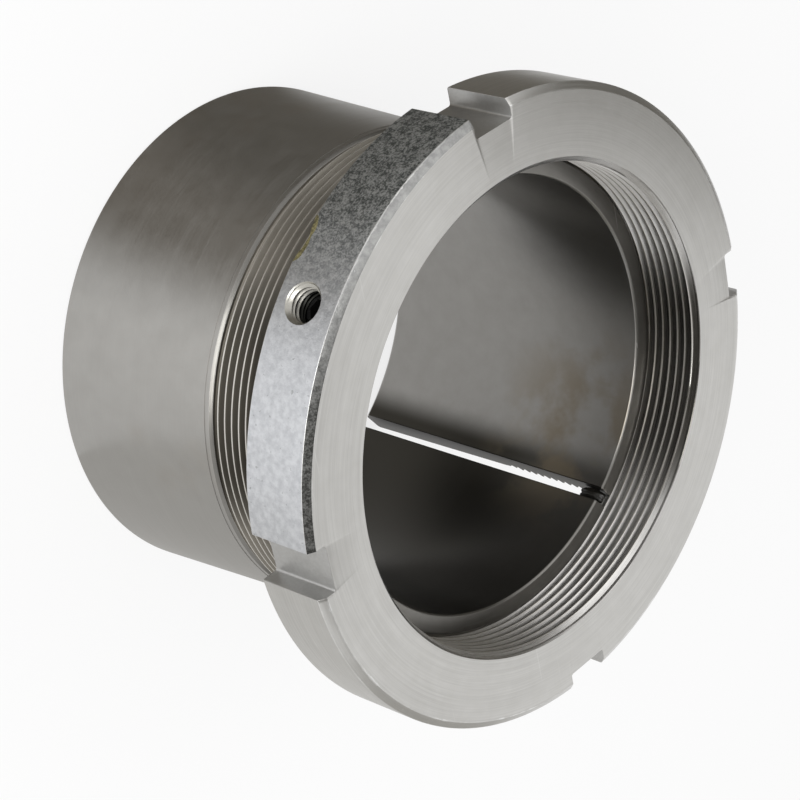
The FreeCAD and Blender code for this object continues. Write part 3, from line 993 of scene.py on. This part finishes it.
def on_split(face):
    """The two sawn walls of the split."""
    facing = abs(face.normal.dot(ACROSS_SPLIT)) > 0.95
    beside = abs(face.center.dot(ACROSS_SPLIT)) < (SPLIT_WIDTH / 2 + 0.1) * MM
    return facing and beside and face.center.dot(ALONG_SPLIT) > 0


def on_small_end(face):
    return face.center.z > (SLEEVE_LENGTH - 0.3) * MM


def in_band(face, low, high):
    """On the outside, between two heights."""
    outside = axis_distance(face) > (SLEEVE_END_RADIUS + 0.2) * MM
    return outside and low * MM < face.center.z < high * MM


def on_end_bevel(face):
    return in_band(face, END_BEVEL_FROM + 0.05, END_BEVEL_TO - 0.03)


def below_thread(face):
    return in_band(face, END_BEVEL_TO + 0.02, THREAD_WALL_START + 0.1)


paint_faces(sleeve_mesh, bore_steel, in_bore)
# The split's walls are painted dark as shade.
paint_faces(sleeve_mesh, sawn_shaded_steel, on_split)
# The small end, inside the nut, and the bevel below the thread are painted dark as shade.
paint_faces(sleeve_mesh, painted_shade_steel, on_small_end)
paint_faces(sleeve_mesh, painted_shade_steel, on_end_bevel, only=sleeve_steel)
paint_faces(sleeve_mesh, sleeve_thread_steel, below_thread, only=sleeve_steel)
sleeve = piece_from(sleeve_mesh, "ground_sleeve")
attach(sleeve, "sleeve")
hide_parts("adapter_sleeve")
print("sleeve:", len(sleeve_mesh.polygons), "faces in", len(sleeve_mesh.materials), "groups")

# %% [markdown]
# Just under the nut the split is dark, so a near-black, matt lump fills it there. The lump is
# an uneven ball, drawn out along the split and pressed flat between its two walls. Sculpting
# would do it too, but waves of sine and cosine give the same lump on every run.

# %% A dark lump in the split
DARK_LUMP_HALF_SIZES = (1.9, SPLIT_WIDTH / 2 + 0.1, 5.0)  # outwards, across the split, upwards
DARK_LUMP_MIDDLE = (73.0, 0, 104.8)
LUMPS, RIPPLES = 0.1, 0.05  # shares of the ball's radius


def uneven_ball(half_sizes, middle, angle, name):
    """A lumpy ball with its own half sizes, moved out from the axis and turned round it."""
    ball = bmesh.new()
    bmesh.ops.create_icosphere(ball, subdivisions=4, radius=1.0)
    for vert in ball.verts:
        x, y, z = vert.co
        lump = LUMPS * math.sin(5 * y + 2) * math.cos(4 * z)
        vert.co *= 1 + lump + RIPPLES * math.sin(11 * y + 3 * x)
    bmesh.ops.scale(ball, vec=[size * MM for size in half_sizes], verts=ball.verts)
    bmesh.ops.translate(ball, vec=[distance * MM for distance in middle], verts=ball.verts)
    bmesh.ops.rotate(ball, matrix=Matrix.Rotation(angle, 3, "Z"), verts=ball.verts)
    mesh = bpy.data.meshes.new(name)
    ball.to_mesh(mesh)
    ball.free()
    return mesh


dark_lump_mesh = uneven_ball(DARK_LUMP_HALF_SIZES, DARK_LUMP_MIDDLE, SPLIT_ANGLE, "split_dark_lump")
wall_at = (SPLIT_WIDTH / 2 - 0.02) * MM
for vert in dark_lump_mesh.vertices:
    across = vert.co.dot(ACROSS_SPLIT)
    vert.co -= (across - min(max(across, -wall_at), wall_at)) * ACROSS_SPLIT
dark_lump_mesh.materials.append(dark_lump_finish)
dark_lump = piece_from(dark_lump_mesh, "split_dark_lump")
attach(dark_lump, "sleeve")
print("grease:", len(dark_lump_mesh.polygons), "faces")

# %% [markdown]
# ## The lock nut
# The ring is turned whole: face, broad bevel, rim, back and threaded bore. Its slots and its
# side hole are then cut as on the real one. Its thread is full where it shows in front of the
# sleeve and trimmed where the two threads engage.

# %% Nut: the turned ring
BACK_BREAK, CORNER_ROUNDING = 0.5, 0.2
nut_thread = threaded_wall(
    nut_thread_steel, side=-1.0, crest_radius=NUT_THREAD_CREST, root_radius=NUT_THREAD_ROOT,
    crest_half_width=CREST_HALF_WIDTH, pitch=THREAD_PITCH, phase=NUT_FIRST_CREST - NUT_BACK,
    start=NUT_BACK, end=NUT_FACE, start_radius=NUT_MOUTH_RADIUS, end_radius=NUT_MOUTH_RADIUS,
    plateau_radius=NUT_TRIM, plateau_edge=NUT_TRIM_TO, plateau_direction=1.0,
    first_angle=SPLIT_ANGLE, gap=0.0, edge_break=0.0)

nut_section = rounded([
    (NUT_MOUTH_RADIUS, NUT_BACK, 0),
    (NUT_RADIUS - BACK_BREAK, NUT_BACK, CORNER_ROUNDING),
    (NUT_RADIUS, NUT_BACK + BACK_BREAK, CORNER_ROUNDING),
    (NUT_RADIUS, NUT_FACE - NUT_BEVEL_HEIGHT, CORNER_ROUNDING),
    (NUT_RADIUS - NUT_BEVEL_WIDTH, NUT_FACE, CORNER_ROUNDING),
    (NUT_MOUTH_RADIUS, NUT_FACE, 0),
])
nut_walls = turned_wall(nut_section, nut_steel, first_angle=SPLIT_ANGLE)
ring_mesh = closed_shell("turned_ring", [nut_thread, nut_walls])

# %% [markdown]
# A slot is what a milling cutter leaves, so its cutter is a block with two rounded corners.
# The side hole is what a tap leaves, so its cutter is itself a threaded wall with two caps,
# which widens at its end into the hole's bevelled rim. The scallop's cutter is another uneven
# ball. Each cutter carries the steel that its cut will show.

# %% Cutters: a rounded slot and a scallop
CUTTER_REACH = 8.0
CUTTER_BOTTOM, CUTTER_HEIGHT = 100.0, 35.0
SCALLOP_ANGLE = math.radians(125)
SCALLOP_HALF_SIZES, SCALLOP_MIDDLE = (2.2, 8.0, 3.4), (NUT_RADIUS + 0.4, 0, NUT_BACK - 0.2)


def slot_cutter(angle, steel):
    """A block with the slot's outline, standing across the rim at this angle."""
    outer = NUT_RADIUS + CUTTER_REACH
    corners = [(outer, -SLOT_HALF_WIDTH, 0), (SLOT_FLOOR, -SLOT_HALF_WIDTH, SLOT_CORNER),
               (SLOT_FLOOR, SLOT_HALF_WIDTH, SLOT_CORNER), (outer, SLOT_HALF_WIDTH, 0)]
    turn = Matrix.Rotation(angle, 4, "Z")
    cutter = bmesh.new()
    bottom = [cutter.verts.new(turn @ Vector((x * MM, y * MM, CUTTER_BOTTOM * MM)))
              for x, y in rounded(corners, 4)]
    face = cutter.faces.new(bottom)
    top = bmesh.ops.extrude_face_region(cutter, geom=[face])["geom"]
    bmesh.ops.translate(cutter, vec=(0, 0, CUTTER_HEIGHT * MM),
                        verts=[v for v in top if isinstance(v, bmesh.types.BMVert)])
    bmesh.ops.recalc_face_normals(cutter, faces=cutter.faces)
    mesh = bpy.data.meshes.new("slot_cutter")
    cutter.to_mesh(mesh)
    cutter.free()
    mesh.materials.append(steel)
    return mesh


slot_meshes = [slot_cutter(k * math.pi / 2, slot_steel) for k in range(4)]
scallop_mesh = uneven_ball(SCALLOP_HALF_SIZES, SCALLOP_MIDDLE, SCALLOP_ANGLE, "scallop_cutter")
scallop_mesh.materials.append(chip_crust)
print("slot cutters:", len(slot_meshes), "and a scallop")

# %% Cutter: a tap with a countersink
def onto_screw_axis(mesh):
    """Turn a mesh made along Z so that Z points out along the screw's axis."""
    centre = Matrix.Translation((0, 0, SCREW_LEVEL * MM))
    mesh.transform(centre @ Matrix.Rotation(SCREW_ANGLE, 4, "Z") @ Matrix.Rotation(
        math.pi / 2, 4, "Y"))
    return mesh


HOLE_CREST, HOLE_ROOT = 5.053, 6.03
HOLE_TRIM_TO = SCREW_TIP + SCREW_LENGTH + 0.324  # past the screw the hole's thread is full
TAP_FROM, TAP_TO, TAP_END_RADIUS = 72.0, 101.0, 7.5

tap_wall = threaded_wall(
    hole_steel, columns=64, side=-1.0, crest_radius=HOLE_CREST, root_radius=HOLE_ROOT,
    crest_half_width=0.22, pitch=SCREW_PITCH, phase=0.4, start=TAP_FROM, end=TAP_TO,
    start_radius=HOLE_TRIM, end_radius=TAP_END_RADIUS, plateau_radius=HOLE_TRIM,
    plateau_edge=HOLE_TRIM_TO, plateau_direction=1.0, first_angle=0.0, gap=0.0, edge_break=0.0)
tap_mesh = onto_screw_axis(closed_shell("tap", [tap_wall], close_rims=True))

# %% [markdown]
# Boolean modifiers make the cuts. The exact solver copes with the many thin faces of a
# thread, and the transfer mode hands each cutter's steel on to the cut's walls.

# %% Cut with Boolean modifiers
def cut(mesh, cutters, operation="DIFFERENCE"):
    """A copy of the mesh with the cutters taken away, or with only what is inside them."""
    body = bpy.data.objects.new("cut_body", mesh.copy())
    bpy.context.scene.collection.objects.link(body)
    tools = []
    for cutter in cutters:
        tool = bpy.data.objects.new("cut_tool", cutter)
        bpy.context.scene.collection.objects.link(tool)
        tools.append(tool)
        modifier = body.modifiers.new("cut", "BOOLEAN")
        modifier.operation = operation
        modifier.solver = "EXACT"
        modifier.material_mode = "TRANSFER"
        modifier.object = tool
    result = plain_mesh(body)
    for tool in tools:
        bpy.data.objects.remove(tool)
    return result


nut_mesh = cut(ring_mesh, [tap_mesh, *slot_meshes, scallop_mesh])
print("nut after cutting:", len(nut_mesh.polygons), "faces",
      [steel.name for steel in nut_mesh.materials])

# %% [markdown]
# Milled edges are filed so that they don't cut the fitter's hand. The edges to bevel are those
# between a slot's own steel and any other. A bevel modifier with an angle limit would catch
# the thread's edges too.

# %% Nut: break the slots' edges
SLOT_EDGE_BREAK = 0.22


def break_edges(mesh, width):
    """A small bevel along the edges where a slot meets the turned surfaces."""
    shell = bmesh.new()
    shell.from_mesh(mesh)
    bmesh.ops.remove_doubles(shell, verts=shell.verts, dist=0.003 * MM)
    slot_index = mesh.materials.find(slot_steel.name)
    rims = [e for e in shell.edges if len(e.link_faces) == 2
            and (e.link_faces[0].material_index == slot_index)
            != (e.link_faces[1].material_index == slot_index)]
    bmesh.ops.bevel(shell, geom=rims, offset=width * MM, segments=2, profile=0.5,
                    affect="EDGES", clamp_overlap=True, material=-1)
    bmesh.ops.recalc_face_normals(shell, faces=shell.faces)
    open_edges = sum(1 for e in shell.edges if not e.is_manifold)
    shell.to_mesh(mesh)
    shell.free()
    print("slot edges broken:", len(rims), "edges, open edges left:", open_edges)


break_edges(nut_mesh, SLOT_EDGE_BREAK)

# %% Nut: a steel for each surface
BLASTED_REACH = 0.7  # cosine of the angle from the blasted stretch's middle to its ends


def beside_blasted_middle(face):
    angle = math.atan2(face.center.y, face.center.x)
    return math.cos(angle - BLASTED_MIDDLE) > BLASTED_REACH


def on_blasted_rim(face):
    """On the rim, between the two slots that stand at 90 and 180 degrees."""
    upright = abs(face.normal.z) < 0.3
    return (upright and beside_blasted_middle(face)
            and axis_distance(face) > (NUT_RADIUS - 0.6) * MM)


def on_bevel(face):
    return (0.5 < face.normal.z < 0.97
            and axis_distance(face) > (NUT_RADIUS - NUT_BEVEL_WIDTH - 0.3) * MM)


def beside_blasted_rim(face):
    return on_bevel(face) and beside_blasted_middle(face)


def on_back(face):
    return face.normal.z < -0.9


paint_faces(nut_mesh, rim_steel, on_blasted_rim, only=nut_steel)
paint_faces(nut_mesh, blasted_shaded_bevel_steel, beside_blasted_rim, only=nut_steel)
paint_faces(nut_mesh, bevel_steel, on_bevel, only=nut_steel)
# The rear face is painted dark as shade.
paint_faces(nut_mesh, painted_shade_steel, on_back, only=nut_steel)
nut = piece_from(nut_mesh, "slotted_nut")
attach(nut, "nut")
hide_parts("lock_nut")
print("nut:", len(nut.data.polygons), "faces")

# %% [markdown]
# ## Set screw and pad
# The screw is a threaded wall with a flat point, a bevelled rim and a hexagon socket. Like the
# sleeve's hidden thread, its ridge is trimmed to the middle line, because it is engaged all
# along. The socket is rings of points joined by faces, and two of the rings are hexagons.

# %% Screw
SCREW_COLUMNS = 48
SCREW_TOP = SCREW_TIP + SCREW_LENGTH


def hexagon_radius(angle):
    """Distance from the axis to the side of the hexagon at this angle."""
    return HEXAGON_WIDTH / 2 / math.cos(angle % (math.pi / 3) - math.pi / 6)


def hexagon_socket(steel):
    """The screw's outer end: a bevelled rim, a flat, six walls and a floor, for a key."""
    shell = bmesh.new()
    rings = []
    for radius, height in ((SCREW_HEAD_RADIUS, SCREW_TOP - SCREW_BEVEL),
                           (SCREW_HEAD_RADIUS - SCREW_BEVEL, SCREW_TOP),
                           (None, SCREW_TOP), (None, SCREW_TOP - HEXAGON_DEPTH)):
        ring = []
        for k in range(SCREW_COLUMNS):
            angle = 2 * math.pi * k / SCREW_COLUMNS
            reach = radius or hexagon_radius(angle)
            ring.append(shell.verts.new(Vector((
                reach * math.cos(angle) * MM, reach * math.sin(angle) * MM, height * MM))))
        rings.append(ring)
    for outer, inner in zip(rings, rings[1:]):
        for k in range(SCREW_COLUMNS):
            after = (k + 1) % SCREW_COLUMNS
            shell.faces.new((outer[k], outer[after], inner[after], inner[k]))
    shell.faces.new(rings[-1])
    mesh = bpy.data.meshes.new("hexagon_socket")
    shell.to_mesh(mesh)
    shell.free()
    mesh.materials.append(steel)
    return mesh


screw_thread = threaded_wall(
    screw_steel, columns=SCREW_COLUMNS, side=1.0, crest_radius=SCREW_RADIUS,
    root_radius=SCREW_ROOT, crest_half_width=0.11, pitch=SCREW_PITCH, phase=0.9,
    start=SCREW_TIP, end=SCREW_TOP - SCREW_BEVEL, start_radius=SCREW_POINT_RADIUS,
    end_radius=SCREW_HEAD_RADIUS, plateau_radius=SCREW_TRIM, plateau_edge=0.0,
    plateau_direction=-1.0, first_angle=0.0, gap=0.0, edge_break=0.0)
screw_end = hexagon_socket(screw_steel)
screw_mesh = onto_screw_axis(closed_shell(
    "socket_screw", [screw_thread, screw_end], close_rims=True))
screw = piece_from(screw_mesh, "socket_screw")
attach(screw, "screw")
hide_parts("lock_screw")

# %% [markdown]
# The pad was in its hole when the nut was threaded, so the nut's ridge runs on across its end.
# A Boolean modifier gives just that: the pad is the part of the uncut ring inside a plug.

# %% Pad
PLUG_BOTTOM = 70.0


def plug_mesh(radius, bottom, top, steel):
    shell = bmesh.new()
    bmesh.ops.create_cone(shell, cap_ends=True, segments=64, radius1=radius * MM,
                          radius2=radius * MM, depth=(top - bottom) * MM,
                          matrix=Matrix.Translation((0, 0, (top + bottom) / 2 * MM)))
    mesh = bpy.data.meshes.new("plug")
    shell.to_mesh(mesh)
    shell.free()
    mesh.materials.append(steel)
    return mesh


plug = onto_screw_axis(plug_mesh(SCREW_TRIM, PLUG_BOTTOM, PAD_TOP, pad_brass))
pad_mesh = cut(ring_mesh, [plug], "INTERSECT")
pad_mesh.materials.clear()
pad_mesh.materials.append(pad_brass)
pad_mesh.polygons.foreach_set("material_index", [0] * len(pad_mesh.polygons))
pad = piece_from(pad_mesh, "brass_pad")
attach(pad, "nut")
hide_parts("locking_pad")
print("pad:", len(pad_mesh.polygons), "faces")

# %% [markdown]
# ## Floor, lights and camera
# The part stands on its large end on a plain pale floor that has no edge in the photograph.
# So the camera and the reflections see the floor glow white, a little less near the part,
# while it stays matt paper to all other light and takes the part's shadow.

# %% Floor
FLOOR_HALF = 4.0
FADE_FROM, FADE_TO = 0.5, 2.5
NEAR_WHITENESS = 0.78


def seen_ray(tree):
    """1 for what the camera, a reflection or a see-through surface shows, 0 for the rest."""
    rays = place(tree, "ShaderNodeLightPath").outputs
    seen = calc(tree, "ADD", rays["Is Camera Ray"], rays["Is Glossy Ray"])
    seen = calc(tree, "ADD", seen, rays["Is Transmission Ray"])
    return calc(tree, "MINIMUM", seen, 1.0)


def pale_floor():
    paper = bpy.data.materials.new("pale_paper")
    paper.use_nodes = True
    tree = paper.node_tree
    tree.nodes.clear()
    matt = place(tree, "ShaderNodeBsdfDiffuse")
    matt.inputs["Color"].default_value = (0.86, 0.86, 0.86, 1.0)
    plain = place(tree, "ShaderNodeEmission")
    _, radius, *_ = axis_parts(tree)
    whiteness = ramp(tree, radius, FADE_FROM, FADE_TO, NEAR_WHITENESS, 1.0)
    blend = place(tree, "ShaderNodeMixShader")
    feed(tree, blend.inputs[0], calc(tree, "MULTIPLY", seen_ray(tree), whiteness))
    feed(tree, blend.inputs[1], matt.outputs[0])
    feed(tree, blend.inputs[2], plain.outputs[0])
    output = place(tree, "ShaderNodeOutputMaterial")
    feed(tree, output.inputs["Surface"], blend.outputs[0])
    return paper


floor_mesh = bpy.data.meshes.new("floor")
floor_mesh.from_pydata([(x * FLOOR_HALF, y * FLOOR_HALF, 0)
                        for x, y in ((-1, -1), (1, -1), (1, 1), (-1, 1))], [], [(0, 1, 2, 3)])
floor_mesh.materials.append(pale_floor())
floor = bpy.data.objects.new("floor", floor_mesh)
bpy.context.scene.collection.objects.link(floor)
print("floor ready")

# %% [markdown]
# The photograph has soft light from the upper left and a weaker one from the right. Two square
# lamps do that. The world around is white where it is seen and a little dimmer as a light, so
# that the lamps still shape the part.

# %% World and lamps
WORLD_FILL = 0.75
PART_MIDDLE = Vector((0, 0, 0.06))


def studio_world(fill):
    world = bpy.data.worlds.new("studio")
    world.use_nodes = True
    tree = world.node_tree
    tree.nodes.clear()
    sky = place(tree, "ShaderNodeBackground")
    sky.inputs["Color"].default_value = (1.0, 1.0, 1.0, 1.0)
    feed(tree, sky.inputs["Strength"], ramp(tree, seen_ray(tree), 0.0, 1.0, fill, 1.0))
    output = place(tree, "ShaderNodeOutputWorld")
    feed(tree, output.inputs["Surface"], sky.outputs[0])
    bpy.context.scene.world = world


def soft_lamp(name, azimuth, elevation, distance, size, power):
    """A square lamp aimed at the part, placed by its direction from it in degrees."""
    turn, lift = math.radians(azimuth), math.radians(elevation)
    away = Vector((math.cos(turn) * math.cos(lift), math.sin(turn) * math.cos(lift),
                   math.sin(lift)))
    data = bpy.data.lights.new(name, "AREA")
    data.shape, data.size, data.energy = "SQUARE", size, power
    lamp = bpy.data.objects.new(name, data)
    lamp.location = PART_MIDDLE + away * distance
    lamp.rotation_euler = away.to_track_quat("Z", "Y").to_euler()
    bpy.context.scene.collection.objects.link(lamp)
    return lamp


studio_world(WORLD_FILL)
lamps = [soft_lamp("left_softbox", azimuth=159, elevation=36, distance=1.4, size=0.9, power=12.0),
         soft_lamp("right_softbox", azimuth=40, elevation=60, distance=1.6, size=0.8, power=1.6)]
print("lamps:", [lamp.name for lamp in lamps])

# %% [markdown]
# A room that is white all round leaves bare steel flat and chalky. Photographers stand dark
# cards beside it, so that the steel has something dark to show. These cards do the same:
# only reflections show them, and they cast no shadow. The dark one round the sleeve's foot is
# graded, because a hard edge would show in the ground steel.

# %% The finish of a card
NARROWS_FROM, NARROWS_FOR, NARROWING = 0.085, 0.088, 6.5  # metres, metres, radians a metre


def card_finish(name, colour):
    """A plain card; the colour is a tuple, or a function that makes one from the node tree."""
    finish = bpy.data.materials.new(name)
    finish.use_nodes = True
    tree = finish.node_tree
    tree.nodes.clear()
    matt = place(tree, "ShaderNodeEmission")
    feed(tree, matt.inputs["Color"], colour(tree) if callable(colour) else (*colour, 1.0))
    output = place(tree, "ShaderNodeOutputMaterial")
    feed(tree, output.inputs["Surface"], matt.outputs[0])
    return finish


def graded_round(tree):
    """Dark from 67 to 122 degrees round the part, paler toward 116, and light by 43 and 145.

    Its first edge lies further back round the part the further out it is.
    """
    darkest, warmer, light_grey = (0.16, 0.148, 0.128), (0.255, 0.23, 0.198), (0.9, 0.9, 0.9)
    _, radius, _, cosine, sine = axis_parts(tree)
    angle = calc(tree, "ARCTAN2", sine, cosine)
    further = calc(tree, "MINIMUM", calc(tree, "SUBTRACT", radius, NARROWS_FROM), NARROWS_FOR)
    spread = calc(tree, "ADD", angle, calc(tree, "MULTIPLY", further, NARROWING))
    edges = [ramp(tree, place_round, math.radians(dark), math.radians(light))
             for place_round, dark, light in ((angle, 122, 145), (spread, 67, 43))]
    dark = mix(tree, ramp(tree, angle, math.radians(86), math.radians(116)), darkest, warmer)
    return mix(tree, calc(tree, "MAXIMUM", *edges), dark, light_grey)


def warm_grey(level):
    return (level, level ** 1.03, level ** 1.1)


print("a warm grey:", warm_grey(0.5))

# %% Shapes of the cards
CARD_HEIGHT = 0.0002
SLEEVE_FOOT, CARD_REACH = 0.0803, 0.9


def dark_card(name, corners, colour):
    """A card that only reflections show, as one stands or lies beside polished metal."""
    mesh = bpy.data.meshes.new(name)
    mesh.from_pydata(corners, [], [range(len(corners))])
    mesh.materials.append(card_finish(name, colour))
    card = bpy.data.objects.new(name, mesh)
    bpy.context.scene.collection.objects.link(card)
    for kind in ("camera", "diffuse", "transmission", "volume_scatter", "shadow"):
        setattr(card, "visible_" + kind, False)
    return card


def lying(outline):
    """Corners just above the floor."""
    return [(x, y, CARD_HEIGHT) for x, y in outline]


def sector(first, last, steps=12):
    """A card on the floor round the sleeve's foot, from one angle to another in degrees."""
    angles = np.radians(np.linspace(first, last, steps))
    return lying([(CARD_REACH * math.cos(a), CARD_REACH * math.sin(a)) for a in angles]
                 + [(SLEEVE_FOOT * math.cos(a), SLEEVE_FOOT * math.sin(a)) for a in angles[::-1]])


def standing(azimuth, distance, width, height):
    """An upright card that faces the part."""
    turn = math.radians(azimuth)
    middle = Vector((math.cos(turn), math.sin(turn), 0)) * distance
    along = Vector((-math.sin(turn), math.cos(turn), 0))
    low = [middle - along * width / 2, middle + along * width / 2]
    return [*low, low[1] + Vector((0, 0, height)), low[0] + Vector((0, 0, height))]


def overhead(middle_x, middle_y, height, radius, steps=24):
    angles = np.linspace(0, 2 * math.pi, steps, endpoint=False)
    return [(radius * math.cos(a) + middle_x, radius * math.sin(a) + middle_y, height)
            for a in angles]


low_bore_outline = [(-0.035, -0.058), (0.016, -0.066), (0.034, -0.058), (0.014, -0.056)]
high_bore_outline = [(0.055, -0.006), (0.066, 0.012), (0.05, 0.046), (0.02, 0.064),
                     (0.014, 0.0), (0.026, -0.014)]
print("cards lie", CARD_HEIGHT, "m above the floor")

# %% Place the cards
dark_card("graded_floor_card", sector(5, 145), graded_round)
dark_card("pale_floor_card", sector(185, 292), warm_grey(0.76))
# These two black cards lie on the floor inside the bore and stand for the part's own shade there:
# painted shade that only reflections show.
dark_card("low_bore_card", lying(low_bore_outline), warm_grey(0.015))
dark_card("high_bore_card", lying(high_bore_outline), warm_grey(0.015))
dark_card("left_back_card", standing(azimuth=60, distance=0.6, width=0.7, height=0.3),
          warm_grey(0.2))
dark_card("right_back_card", standing(azimuth=4, distance=0.8, width=0.86, height=1.05),
          warm_grey(0.16))
dark_card("side_card", standing(azimuth=268, distance=0.7, width=0.5, height=0.65),
          warm_grey(0.5))
dark_card("top_card", overhead(middle_x=-0.36, middle_y=-0.16, height=0.9, radius=0.5),
          warm_grey(0.1))
print("dark cards placed")

# %% [markdown]
# The camera's place, turn, lens and small shift were found by fitting the nut's circles, its
# slots and the sleeve's two ends to the photograph. A fit gives the lens in pixels, and
# Blender wants millimetres on a sensor, so it is converted by the picture's width.

# %% Camera
CAMERA_PLACE = (-0.465548, 0.375394, 0.592998)
CAMERA_TURN = (-19.81897, -48.36439, -13.72813)  # degrees about X, Y and Z
FOCAL_PIXELS, CENTRE_X, CENTRE_Y, IMAGE_WIDTH = 2506.34, 500.0, 420.0, 800.0

camera_data = bpy.data.cameras.new("camera")
camera_data.sensor_width = 36.0
camera_data.lens = FOCAL_PIXELS / IMAGE_WIDTH * camera_data.sensor_width
camera_data.shift_x = (IMAGE_WIDTH / 2 - CENTRE_X) / IMAGE_WIDTH
camera_data.shift_y = (CENTRE_Y - IMAGE_WIDTH / 2) / IMAGE_WIDTH
camera = bpy.data.objects.new("camera", camera_data)
camera.rotation_euler = [math.radians(turn) for turn in CAMERA_TURN]
camera.location = CAMERA_PLACE
bpy.context.scene.collection.objects.link(camera)
bpy.context.scene.camera = camera
bpy.context.scene.view_settings.view_transform = "Standard"
print("camera:", round(camera_data.lens, 1), "mm lens")

# %% [markdown]
# ## Finish

# %% Finish
print("done")
